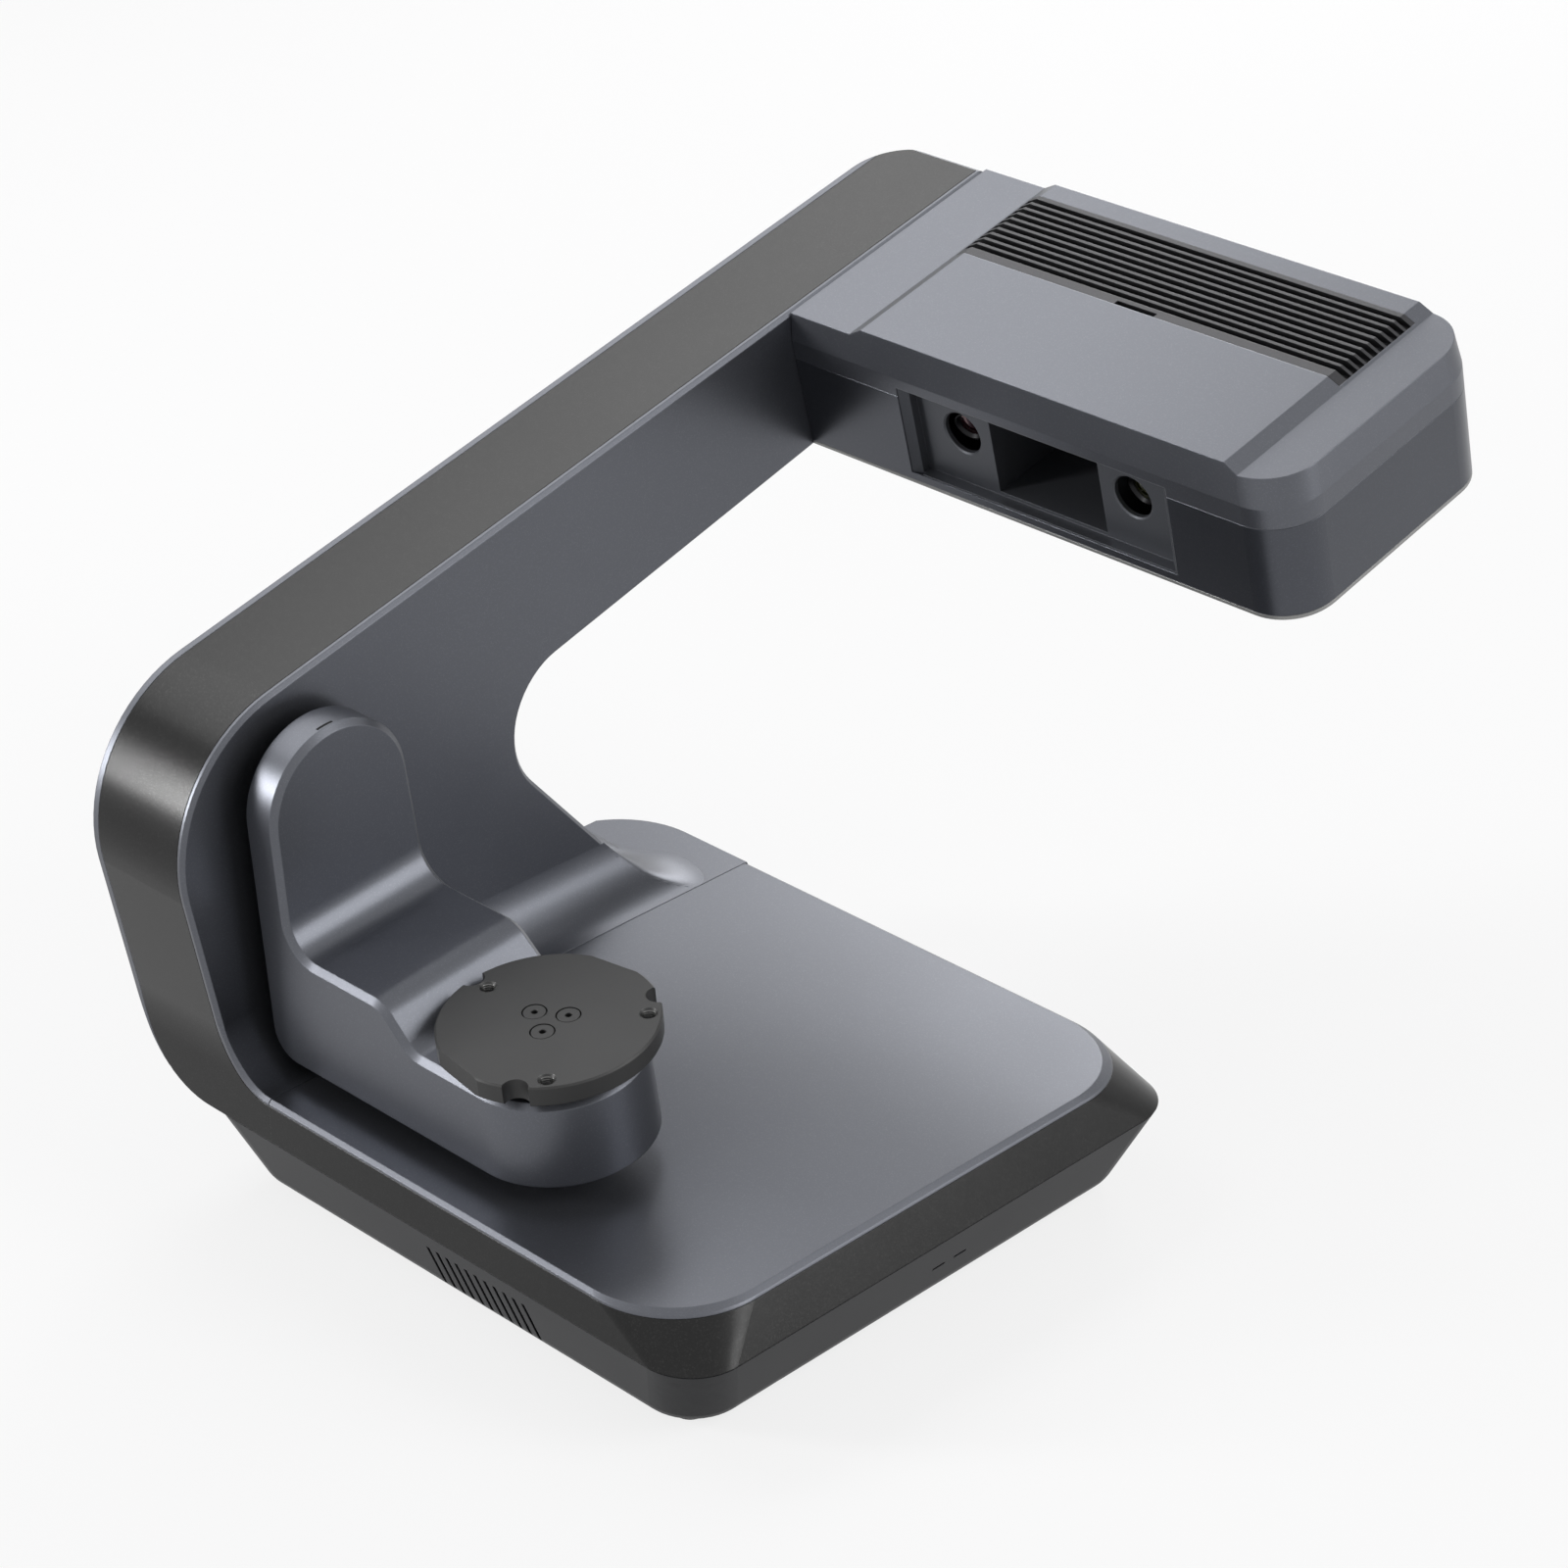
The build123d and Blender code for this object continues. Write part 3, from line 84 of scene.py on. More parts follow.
def makeCamera(place):
    # the camera's own z axis points back from the object along the azimuth and elevation
    a, e = math.radians(place["azimuth"]), math.radians(place["elevation"])
    back = Vector((math.sin(a) * math.cos(e), -math.cos(a) * math.cos(e), math.sin(e)))
    right = Vector((math.cos(a), math.sin(a), 0))
    up = back.cross(right)
    turn = Matrix((right, up, back)).transposed().to_4x4()
    data = bpy.data.cameras.new("benchCamera")
    data.lens = place["lens"]
    data.sensor_width = place["sensor"]
    data.clip_end = place["farthest"]
    camera = bpy.data.objects.new("benchCamera", data)
    camera.matrix_world = Matrix.Translation(place["metres"]) @ turn
    bpy.context.scene.collection.objects.link(camera)
    bpy.context.scene.camera = camera


makeCamera(cameraPlace)


# the studio: pale floor, white surroundings, soft boxes; places and sizes in metres
studio = {
    "floor": "#f2f2f3",
    "floorHalf": 9,
    "surroundLight": 0.25,
    "floorGlow": 0.8,
    "boxes": (  # name, place, size, watts, the point it faces
        ("leftOverheadStrip", (-1.56, 0.1, 1.96), (2.8, 0.7), 18, (0.0, 0.0, 0.2)),
        ("rightBackBox", (1.75, 0.85, 1.25), (1.0, 1.9), 24, (0.0, 0.0, 0.2)),
        ("leftFrontStrip", (-1.6, -2.0, 0.78), (0.4, 0.9), 40, (-0.12, -0.25, 0.3)),
        ("backLeftBox", (-1.32, 2.2, 1.3), (1.1, 0.9), 18, (0.1, 0.1, 0.1)),
    ),
}


def makeStudio(look):
    # camera, glossy and see-through rays find white; other rays find the softer surrounding light
    world = bpy.data.worlds.new("studioSurround")
    world.use_nodes = True
    tree = world.node_tree
    tree.nodes.clear()
    path = addNode(tree, "ShaderNodeLightPath")
    seen = addNode(tree, "ShaderNodeMath", links={0: path.outputs["Is Camera Ray"],
                   1: path.outputs["Is Glossy Ray"]}, operation="MAXIMUM")
    seen = addNode(tree, "ShaderNodeMath", links={0: seen.outputs[0],
                   1: path.outputs["Is Transmission Ray"]}, operation="MAXIMUM")
    strength = addNode(tree, "ShaderNodeMapRange", {"To Min": look["surroundLight"], "To Max": 1.0},
                       {"Value": seen.outputs[0]})
    surround = addNode(tree, "ShaderNodeBackground", {"Color": (1, 1, 1, 1)},
                       {"Strength": strength.outputs[0]})
    addNode(tree, "ShaderNodeOutputWorld", links={"Surface": surround.outputs[0]})
    bpy.context.scene.world = world

    half = look["floorHalf"]
    floorMesh = bpy.data.meshes.new("benchFloor")
    corners = [(-half, -half, 0), (half, -half, 0), (half, half, 0), (-half, half, 0)]
    floorMesh.from_pydata(corners, [], [(0, 1, 2, 3)])
    floor = bpy.data.objects.new("benchFloor", floorMesh)
    bpy.context.scene.collection.objects.link(floor)
    material, tree = emptyMaterial("matPaintedBench")
    path = addNode(tree, "ShaderNodeLightPath")
    seen = addNode(tree, "ShaderNodeMath", links={0: path.outputs["Is Camera Ray"],
                   1: path.outputs["Is Glossy Ray"]}, operation="MAXIMUM")
    share = addNode(tree, "ShaderNodeMath", {1: look["floorGlow"]}, {0: seen.outputs[0]},
                    operation="MULTIPLY")
    paint = addNode(tree, "ShaderNodeBsdfDiffuse", {"Color": linearColour(look["floor"])})
    glow = addNode(tree, "ShaderNodeEmission", {"Color": (1, 1, 1, 1), "Strength": 1.0})
    both = addNode(tree, "ShaderNodeMixShader", links={0: share.outputs[0], 1: paint.outputs[0],
                   2: glow.outputs[0]})
    addNode(tree, "ShaderNodeOutputMaterial", links={"Surface": both.outputs[0]})
    floorMesh.materials.append(material)

    for name, place, size, watts, aim in look["boxes"]:
        data = bpy.data.lights.new(name, "AREA")
        data.shape = "RECTANGLE"
        data.size, data.size_y = size
        data.energy = watts
        box = bpy.data.objects.new(name, data)
        box.location = place
        box.rotation_euler = (Vector(aim) - Vector(place)).to_track_quat("-Z", "Y").to_euler()
        bpy.context.scene.collection.objects.link(box)

    bpy.context.scene.view_settings.view_transform = "Standard"


makeStudio(studio)
print("camera and studio ready")


def grainedFinish(name, look):
    # a base colour clouded by a slow noise and dotted by fine flakes, over a fine peel,
    # with the shading rounded where two faces meet
    material, tree = emptyMaterial(name)
    place = addNode(tree, "ShaderNodeTexCoord").outputs["Object"]
    cloud = addNode(tree, "ShaderNodeTexNoise", {"Scale": 1000 / look["cloudMm"], "Detail": 3.0},
                    {"Vector": place})
    shade = addNode(tree, "ShaderNodeMix", {"A": linearColour(look["low"]), "B": linearColour(look["high"])},
                    {"Factor": cloud.outputs["Fac"]}, data_type="RGBA")
    flake = addNode(tree, "ShaderNodeTexVoronoi", {"Scale": 1000 / look["flakeMm"]}, {"Vector": place})
    split = addNode(tree, "ShaderNodeSeparateColor", links={"Color": flake.outputs["Color"]})
    lit = addNode(tree, "ShaderNodeMapRange", {"From Min": 1 - look["flakeShare"], "From Max": 1.0,
                  "To Max": look["flakeStrength"]}, {"Value": split.outputs["Red"]})
    colour = addNode(tree, "ShaderNodeMix", {"B": linearColour(look["flake"])},
                     {"Factor": lit.outputs[0], "A": shade.outputs["Result"]}, data_type="RGBA")
    rough = addNode(tree, "ShaderNodeMapRange", {"To Min": look["roughness"] - look["roughSpread"],
                    "To Max": look["roughness"] + look["roughSpread"]}, {"Value": cloud.outputs["Fac"]})
    rounded = addNode(tree, "ShaderNodeBevel", {"Radius": look["edgeMm"] / 1000}, samples=4)
    peel = addNode(tree, "ShaderNodeTexNoise", {"Scale": 1000 / look["peelMm"], "Detail": 2.0},
                   {"Vector": place})
    bump = addNode(tree, "ShaderNodeBump", {"Strength": look["peelStrength"],
                   "Distance": look["peelDeepMm"] / 1000},
                   {"Height": peel.outputs["Fac"], "Normal": rounded.outputs[0]})
    surface = addNode(tree, "ShaderNodeBsdfPrincipled", {"Metallic": look["metallic"], "IOR": look["ior"],
                      "Coat Weight": look["coat"], "Coat Roughness": look["coatRoughness"],
                      "Specular IOR Level": look["specular"]},
                      {"Base Color": colour.outputs["Result"], "Roughness": rough.outputs[0],
                       "Normal": bump.outputs[0]})
    addNode(tree, "ShaderNodeOutputMaterial", links={"Surface": surface.outputs[0]})
    return material


# sprayed ABS: a lacquer full of flat-lying metal dust over a smooth moulding, which mirrors softly in grey
coverLook = {
    "low": "#5d5f65", "high": "#616369", "cloudMm": 60, "flake": "#92959d", "flakeMm": 0.45,
    "flakeShare": 0.2, "flakeStrength": 0.12, "roughness": 0.36, "roughSpread": 0.03, "metallic": 0.85,
    "ior": 1.5, "coat": 0.0, "coatRoughness": 0.3, "specular": 0.5, "peelMm": 1.4, "peelStrength": 0.25,
    "peelDeepMm": 0.02, "edgeMm": 0.7,
}
# sprayed metallic band: the same kind of lacquer, darker and smoother, which shows the soft boxes as strips
bandLook = {
    "low": "#2d2d2d", "high": "#303030", "cloudMm": 50, "flake": "#6e6e6d", "flakeMm": 0.45,
    "flakeShare": 0.2, "flakeStrength": 0.1, "roughness": 0.25, "roughSpread": 0.03, "metallic": 1.0,
    "ior": 1.5, "coat": 0.0, "coatRoughness": 0.2, "specular": 0.3, "peelMm": 1.0, "peelStrength": 0.4,
    "peelDeepMm": 0.02, "edgeMm": 0.5,
}
# moulded ABS from a spark-eroded mould: dark, even and finely pebbled
trayLook = {
    "low": "#121316", "high": "#15161a", "cloudMm": 70, "flake": "#303238", "flakeMm": 0.8,
    "flakeShare": 0.2, "flakeStrength": 0.12, "roughness": 0.36, "roughSpread": 0.03, "metallic": 0.0,
    "ior": 1.5, "coat": 0.0, "coatRoughness": 0.3, "specular": 0.08, "peelMm": 0.9, "peelStrength": 0.5,
    "peelDeepMm": 0.03, "edgeMm": 0.8,
}
# the cover lacquer again: darker on the camera case, pale on the bottom plate, and dark and duller on the
# louvres, where the dark tone is painted shade standing in for the shade in their slots
caseLook = dict(coverLook, low="#4c4e54", high="#505258", flake="#777a82", roughness=0.3)
louvreShadeLook = dict(coverLook, low="#3e3e40", high="#424244", flake="#6c6c6e", roughness=0.42, edgeMm=0.3)
rimLook = dict(coverLook, low="#8a8a89", high="#90908f", flake="#b8b8b8", metallic=0.6, roughness=0.4)
# the optics window: ABS under a flat coat that kills stray light
bezelLook = dict(coverLook, low="#4c4e53", high="#505257", flake="#6a6c72", metallic=0.6, roughness=0.45,
                 edgeMm=0.4)
# bare black ABS and rubber straight from the mould: no metal in them, so they stay dark from all sides
blackPlasticLook = dict(trayLook, low="#0c0c0d", high="#111112", flake="#222223", roughness=0.45, edgeMm=0.4)
rubberLook = dict(trayLook, low="#0b0b0b", high="#101010", flake="#1a1a1a", roughness=0.78, specular=0.3,
                  edgeMm=0.5)


def metalFinish(name, look):
    # a metal whose roughness and height follow fine lines or grit drawn from its making
    material, tree = emptyMaterial(name)
    place = addNode(tree, "ShaderNodeTexCoord").outputs["Object"]
    grit = addNode(tree, "ShaderNodeTexNoise", {"Scale": 1000 / look["gritMm"], "Detail": 4.0,
                   "Roughness": 0.6}, {"Vector": place})
    cloud = addNode(tree, "ShaderNodeTexNoise", {"Scale": 1000 / look["cloudMm"], "Detail": 2.0},
                    {"Vector": place})
    colour = addNode(tree, "ShaderNodeMix", {"A": linearColour(look["low"]), "B": linearColour(look["high"])},
                     {"Factor": cloud.outputs["Fac"]}, data_type="RGBA")
    rough = addNode(tree, "ShaderNodeMapRange", {"To Min": look["roughness"] - look["roughSpread"],
                    "To Max": look["roughness"] + look["roughSpread"]}, {"Value": grit.outputs["Fac"]})
    rounded = addNode(tree, "ShaderNodeBevel", {"Radius": look["edgeMm"] / 1000}, samples=4)
    bump = addNode(tree, "ShaderNodeBump", {"Strength": look["gritStrength"],
                   "Distance": look["gritDeepMm"] / 1000},
                   {"Height": grit.outputs["Fac"], "Normal": rounded.outputs[0]})
    surface = addNode(tree, "ShaderNodeBsdfPrincipled", {"Metallic": look["metallic"]},
                      {"Base Color": colour.outputs["Result"], "Roughness": rough.outputs[0],
                       "Normal": bump.outputs[0]})
    addNode(tree, "ShaderNodeOutputMaterial", links={"Surface": surface.outputs[0]})
    return material


# blasted and black anodised aluminium: a fine even grit that scatters light to a soft grey sheen
plateLook = {
    "low": "#3a3a3a", "high": "#3f3f3f", "cloudMm": 30, "gritMm": 0.7, "gritDeepMm": 0.03,
    "gritStrength": 0.5, "roughness": 0.48, "roughSpread": 0.08, "metallic": 0.7, "edgeMm": 0.3,
}
# turned steel: bright, with a fine soft grain from the tool
steelLook = {
    "low": "#a8a9ab", "high": "#b4b5b7", "cloudMm": 12, "gritMm": 0.5, "gritDeepMm": 0.01,
    "gritStrength": 0.3, "roughness": 0.32, "roughSpread": 0.1, "metallic": 1.0, "edgeMm": 0.2,
}
# black oxide on screws, the grainy skin of a casting, and black anodising over machined aluminium
screwLook = dict(steelLook, low="#1b1b1c", high="#232324", roughness=0.4)
castLook = dict(steelLook, low="#8f9092", high="#9b9c9e", gritMm=1.2, gritDeepMm=0.05, roughness=0.55)
blackAluminiumLook = dict(plateLook, low="#161618", high="#1c1c1e", roughness=0.42)
# turned aluminium left bare where a tool has cut through the black: bright, with a soft grain
bareLook = dict(steelLook, low="#6e6e6d", high="#7a7a79", roughness=0.3)
# gears and bushes: hobbed brass, sintered bronze whose pores dull it, and pale acetal
brassLook = dict(steelLook, low="#b98f45", high="#c79d52", roughness=0.35)
bronzeLook = dict(steelLook, low="#8a6238", high="#9a7044", roughness=0.5)
resinLook = dict(trayLook, low="#d6d2c4", high="#dedace", flake="#efece2", roughness=0.4, edgeMm=0.3)


def boardFinish(name, look):
    # solder mask over copper: straight tracks from a brick pattern show as a lighter green
    material, tree = emptyMaterial(name)
    place = addNode(tree, "ShaderNodeTexCoord").outputs["Object"]
    tracks = addNode(tree, "ShaderNodeTexBrick", {
        "Color1": linearColour(look["mask"]), "Color2": linearColour(look["maskTwo"]),
        "Mortar": linearColour(look["track"]), "Scale": 1.0, "Mortar Size": look["trackMm"] / 1000,
        "Brick Width": look["stepMm"] / 1000, "Row Height": look["rowMm"] / 1000}, {"Vector": place})
    surface = addNode(tree, "ShaderNodeBsdfPrincipled", {
        "Roughness": look["roughness"], "Coat Weight": look["coat"], "Coat Roughness": look["coatRoughness"]},
        {"Base Color": tracks.outputs["Color"]})
    addNode(tree, "ShaderNodeOutputMaterial", links={"Surface": surface.outputs[0]})
    return material


boardLook = {
    "mask": "#0f4a2a", "maskTwo": "#11502e", "track": "#2a7a48", "trackMm": 0.3, "stepMm": 6.0, "rowMm": 2.4,
    "roughness": 0.3, "coat": 0.4, "coatRoughness": 0.15,
}


def coatedGlass(name, look):
    # dark glass whose thin coating tints what it mirrors, so each lens shows a faint colour of its own
    material, tree = emptyMaterial(name)
    place = addNode(tree, "ShaderNodeTexCoord").outputs["Object"]
    depth = addNode(tree, "ShaderNodeTexNoise", {"Scale": 1000 / look["cloudMm"], "Detail": 1.0},
                    {"Vector": place})
    colour = addNode(tree, "ShaderNodeMix", {"A": linearColour(look["inner"]),
                     "B": linearColour(look["outer"])}, {"Factor": depth.outputs["Fac"]}, data_type="RGBA")
    surface = addNode(tree, "ShaderNodeBsdfPrincipled", {
        "Roughness": look["roughness"], "IOR": look["ior"], "Coat Weight": 1.0,
        "Coat Roughness": look["coatRoughness"], "Coat Tint": linearColour(look["coating"])},
        {"Base Color": colour.outputs["Result"]})
    addNode(tree, "ShaderNodeOutputMaterial", links={"Surface": surface.outputs[0]})
    return material


# 120 clouds to a metre: each is two thirds as wide as a lens, so a glass darkens about once from side to side
redLensLook = {
    "inner": "#12060a", "outer": "#1c0a10", "coating": "#c86478", "cloudMm": 1000 / 120, "roughness": 0.06,
    "ior": 1.52, "coatRoughness": 0.03,
}
amberLensLook = dict(redLensLook, inner="#0f1006", outer="#191a0a", coating="#c8c864")


finishes = {
    "cover_grey": grainedFinish("matSprayedAbsCover", coverLook),
    "band_dark": grainedFinish("matSprayedMetallicBand", bandLook),
    "tray_dark": grainedFinish("matMouldedAbsTray", trayLook),
    "case_dark": grainedFinish("matSprayedAbsCase", caseLook),
    # the louvres' dark tone is painted shade for their slots
    "louvre_grey": grainedFinish("matSprayedAbsLouvrePaintedShade", louvreShadeLook),
    "rim_grey": grainedFinish("matSprayedAbsRim", rimLook),
    "bezel_dark": grainedFinish("matMouldedAbsBezel", bezelLook),
    "rubber_black": grainedFinish("matMouldedRubber", rubberLook),
    "plate_black": metalFinish("matBlastedAnodisedAluminium", plateLook),
    "steel": metalFinish("matTurnedSteel", steelLook),
    "screw_black": metalFinish("matBlackOxideSteel", screwLook),
    "cast_aluminium": metalFinish("matCastAluminium", castLook),
    "black_aluminium": metalFinish("matBlackAnodisedAluminium", blackAluminiumLook),
    "bare_aluminium": metalFinish("matTurnedAluminium", bareLook),
    "brass_gear": metalFinish("matHobbedBrass", brassLook),
    "gear_resin": grainedFinish("matMouldedAcetal", resinLook),
    "bronze_bush": metalFinish("matSinteredBronze", bronzeLook),
    "board_green": boardFinish("matSolderMaskBoard", boardLook),
    "black_plastic": grainedFinish("matMouldedBlackAbs", blackPlasticLook),
    "lens_glass": coatedGlass("matCoatedLensGlass", redLensLook),
}
amberGlass = coatedGlass("matAmberCoatedLensGlass", amberLensLook)
print("finishes ready")


def dressNodes():
    # every CAD node takes the finish of its own slot; the two lenses have different coatings
    for entry in frame["record"]["subparts"]:
        node = frame["nodes"][entry["node"]]
        node.data.materials.clear()
        node.data.materials.append(finishes[entry["material_slot"]])
    frame["nodes"]["right_lens"].data.materials[0] = amberGlass


dressNodes()
print("nodes dressed")


# shapes are worked out in millimetres as whole arrays

weldMetres = 1e-7  # points nearer than this become one


def piece(name, points, faces, body, finish, sharpDegrees=30, closed=True):
    # a mesh in metres from points in millimetres, with smooth shading up to its sharp edges
    mesh = bpy.data.meshes.new(name)
    mesh.from_pydata((points / 1000).tolist(), [], faces.tolist())
    solid = bmesh.new()
    solid.from_mesh(mesh)
    bmesh.ops.remove_doubles(solid, verts=solid.verts, dist=weldMetres)
    bmesh.ops.dissolve_degenerate(solid, edges=solid.edges, dist=weldMetres)
    if closed:
        bmesh.ops.recalc_face_normals(solid, faces=solid.faces)
    solid.to_mesh(mesh)
    mesh.polygons.foreach_set("use_smooth", np.ones(len(mesh.polygons), dtype=bool))
    mesh.set_sharp_from_angle(angle=math.radians(sharpDegrees))
    if not closed:
        # open borders are sharp too, so that a thickness added later does not bend the shading there
        lone = np.array([edge.is_boundary for edge in solid.edges])
        marks = np.zeros(len(mesh.edges), dtype=bool)
        sharp = mesh.attributes.get("sharp_edge")
        if sharp is None:
            sharp = mesh.attributes.new("sharp_edge", "BOOLEAN", "EDGE")
        sharp.data.foreach_get("value", marks)
        sharp.data.foreach_set("value", marks | lone)
    solid.free()
    mesh.materials.append(finish)
    made = bpy.data.objects.new(name, mesh)
    bpy.context.scene.collection.objects.link(made)
    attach(made, body)
    return made


def thicken(made, millimetres):
    # gives an open sheet a wall behind its face
    wall = made.modifiers.new("wall", "SOLIDIFY")
    wall.thickness, wall.offset = millimetres / 1000, -1


def gridFaces(rows, columns, closed=False):
    # quads between neighbours of a grid whose points are stored row by row
    steps = columns if closed else columns - 1
    row, column = np.meshgrid(np.arange(rows - 1), np.arange(steps), indexing="ij")
    after = (column + 1) % columns
    quad = (row * columns + column, row * columns + after,
            (row + 1) * columns + after, (row + 1) * columns + column)
    return np.stack(quad, axis=-1).reshape(-1, 4)


def spread(column, count):
    # a column of values repeated side by side
    return np.repeat(column[:, None], count, 1)


def roundedPath(corners, radii, spacing, arcSteps=15):
    # straight runs joined by arcs tangent to both, returned as points and unit directions of travel;
    # an arc of radius r that turns by t starts r tan(t / 2) before the corner
    corners = np.array(corners, float)
    runs = np.diff(corners, axis=0)
    ways = runs / np.linalg.norm(runs, axis=1)[:, None]
    points, directions, start = [], [], corners[0]
    for i, radius in enumerate(radii):
        before, after = ways[i], ways[i + 1]
        turn = math.atan2(before[0] * after[1] - before[1] * after[0], float(before @ after))
        cut = radius * math.tan(abs(turn) / 2)
        end = corners[i + 1] - before * cut
        count = max(2, int(np.linalg.norm(end - start) / spacing))
        along = np.linspace(0, 1, count, endpoint=False)[:, None]
        points.append(start + (end - start) * along)
        directions.append(np.repeat(before[None], count, axis=0))
        side = np.array([-before[1], before[0]]) * math.copysign(1, turn)
        angle = np.linspace(0, turn, arcSteps, endpoint=False)[:, None]
        swing = -side * np.cos(np.abs(angle)) + before * np.sin(np.abs(angle))
        points.append(end + side * radius + swing * radius)
        directions.append(before * np.cos(angle) + np.array([-before[1], before[0]]) * np.sin(angle))
        start = corners[i + 1] + after * cut
    count = max(2, int(np.linalg.norm(corners[-1] - start) / spacing))
    along = np.linspace(0, 1, count)[:, None]
    points.append(start + (corners[-1] - start) * along)
    directions.append(np.repeat(ways[-1][None], count, axis=0))
    return np.concatenate(points), np.concatenate(directions)


# the cradle moulding, in millimetres from its swing axis before the tilt; x runs from the arm to the table
cradle = {
    "swingAxis": (0.0, -202.205, 199.35), "tiltDegrees": 6.2, "back": -110.0, "near": -91.4, "tableX": 33.7,
    "topRadius": 39.7, "flareDegrees": 2.2, "chamfer": 2.8, "ledgeZ": -59.4, "ledgeEnd": -30.0,
    "slopeEnd": -12.0, "deckZ": -77.9, "footZ": -120.4, "coveRadius": 16.5, "browRadius": 17.0,
    "valleyRadius": 15.0, "heelRadius": 14.0, "wellRadius": 51.5, "rimGap": 0.02,
    # the pin slot's width and length, and the lift and wall of the dark sheet of painted shade that stands in
    # for it
    "slot": (1.4, 9.0), "slotInset": 4.3, "shadeLift": 0.04, "shadeWall": 0.3, "fanSteps": 40,
    "acrossPoints": 97, "wallPoints": 6, "frontSpacing": 1.2, "backSpacing": 1.0, "sharpDegrees": 24,
}


def cradleToPart(points, look):
    # turned about X by the resting tilt and moved to the swing axis
    tilt = math.radians(look["tiltDegrees"])
    x, y, z = points[:, 0], points[:, 1], points[:, 2]
    turned = np.stack((x, y * math.cos(tilt) - z * math.sin(tilt), y * math.sin(tilt) + z * math.cos(tilt)),
                      axis=1)
    return turned + np.array(look["swingAxis"])


def makeCradle(look):
    # ribs along the stepped front path: each one runs flat across the face, down a 45 degree chamfer, along
    # the drafted side to the back or the underside, and across that again; the foot's ribs fan round the
    # table axis
    flare, chamfer, radius = math.radians(look["flareDegrees"]), look["chamfer"], look["topRadius"]
    back, near, table = look["back"], look["near"], look["tableX"]
    ledge, deck, foot = look["ledgeZ"], look["deckZ"], look["footZ"]
    fanSteps, acrossPoints = look["fanSteps"], look["acrossPoints"]

    def halfWidth(inset, z):
        # the drafted side's distance from the middle: (r - inset - z sin f) / cos f
        return (radius - inset - z * math.sin(flare)) / math.cos(flare)

    def level(value):
        return np.full(fanSteps, value)

    # each part of the moulding gives x, z and y for the face's edge, the chamfer's foot and the far end
    angle = np.linspace(0, math.pi / 2 - flare, fanSteps, endpoint=False)
    crown = (level(near), (radius - chamfer) * np.cos(angle), (radius - chamfer) * np.sin(angle),
             level(near - chamfer), radius * np.cos(angle), radius * np.sin(angle),
             level(back), radius * np.cos(angle), radius * np.sin(angle))

    path, way = roundedPath(
        [(near, (radius - chamfer) * math.sin(flare)), (near, ledge), (look["ledgeEnd"], ledge),
         (look["slopeEnd"], deck), (table, deck)],
        [look["coveRadius"], look["browRadius"], look["valleyRadius"]], look["frontSpacing"])
    outer = path + chamfer * np.stack((way[:, 1], -way[:, 0]), axis=1)
    upright = path[:, 1] > ledge + look["coveRadius"]
    # the rib's far end goes down the back, round the heel and along the underside
    rest = roundedPath([(back, ledge + look["coveRadius"]), (back, foot), (table, foot)],
                       [look["heelRadius"]], look["backSpacing"])[0]
    steps = np.linspace(0, len(rest) - 1, int((~upright).sum()))
    far = np.stack((np.interp(steps, np.arange(len(rest)), rest[:, 0]),
                    np.interp(steps, np.arange(len(rest)), rest[:, 1])), axis=1)
    farX = np.concatenate((np.full(int(upright.sum()), back), far[:, 0]))
    farZ = np.concatenate((outer[upright, 1], far[:, 1]))
    body = (path[:, 0], path[:, 1], halfWidth(chamfer, path[:, 1]), outer[:, 0], outer[:, 1],
            halfWidth(0, outer[:, 1]), farX, farZ, halfWidth(0, farZ))

    fan = np.linspace(0, math.pi / 2, fanSteps + 1)[1:]
    faceFoot, sideTop, sideFoot = halfWidth(chamfer, deck), halfWidth(0, deck - chamfer), halfWidth(0, foot)
    nose = (table + faceFoot * np.sin(fan), level(deck), faceFoot * np.cos(fan),
            table + sideTop * np.sin(fan), level(deck - chamfer), sideTop * np.cos(fan),
            table + sideFoot * np.sin(fan), level(foot), sideFoot * np.cos(fan))
    faceX, faceZ, faceY, sideX, sideZ, sideY, farX, farZ, farY = [
        np.concatenate(parts) for parts in zip(crown, body, nose)]
    rows = len(faceX)

    across = np.linspace(-1, 1, acrossPoints)
    top = np.stack((spread(faceX, acrossPoints), faceY[:, None] * across, spread(faceZ, acrossPoints)),
                   axis=2)
    # a round well keeps the brow clear of the turntable: points inside it drop to the deck,
    # and the last point outside each crossing moves onto its rim
    rim = table - np.sqrt(np.maximum(look["wellRadius"] ** 2 - top[:, :, 1] ** 2, 0))
    sunk = (top[:, :, 0] > rim) & (top[:, :, 2] > deck) & (np.abs(top[:, :, 1]) < look["wellRadius"])
    top[:, :, 2] = np.where(sunk, deck, top[:, :, 2])
    first = sunk & ~np.roll(sunk, 1, axis=0)
    top[:, :, 0] = np.where(first, rim + look["rimGap"], top[:, :, 0])
    last = np.roll(first, -1, axis=0)
    slopeHeight = np.interp(rim, path[:, 0], path[:, 1])
    top[:, :, 2] = np.where(last, slopeHeight, top[:, :, 2])
    top[:, :, 0] = np.where(last, rim, top[:, :, 0])

    # the sides, the back and the underside close each rib into a ring
    share = np.linspace(0, 1, look["wallPoints"])[:, None, None]
    side = np.stack((sideX, sideY, sideZ), axis=1)
    end = np.stack((farX, farY, farZ), axis=1)
    wall = side + (end - side) * share
    flip = np.array([1, -1, 1])
    under = np.stack((spread(farX, acrossPoints), farY[:, None] * -across, spread(farZ, acrossPoints)),
                     axis=2)
    ring = np.concatenate((top, wall.transpose(1, 0, 2), under[:, 1:-1],
                           (wall * flip)[::-1].transpose(1, 0, 2)), axis=1)
    points = cradleToPart(ring.reshape(-1, 3), look)
    moulding = piece("cradleMoulding", points, gridFaces(rows, ring.shape[1], True), "cradle",
                     finishes["cover_grey"], look["sharpDegrees"])
    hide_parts("cradle_cover")
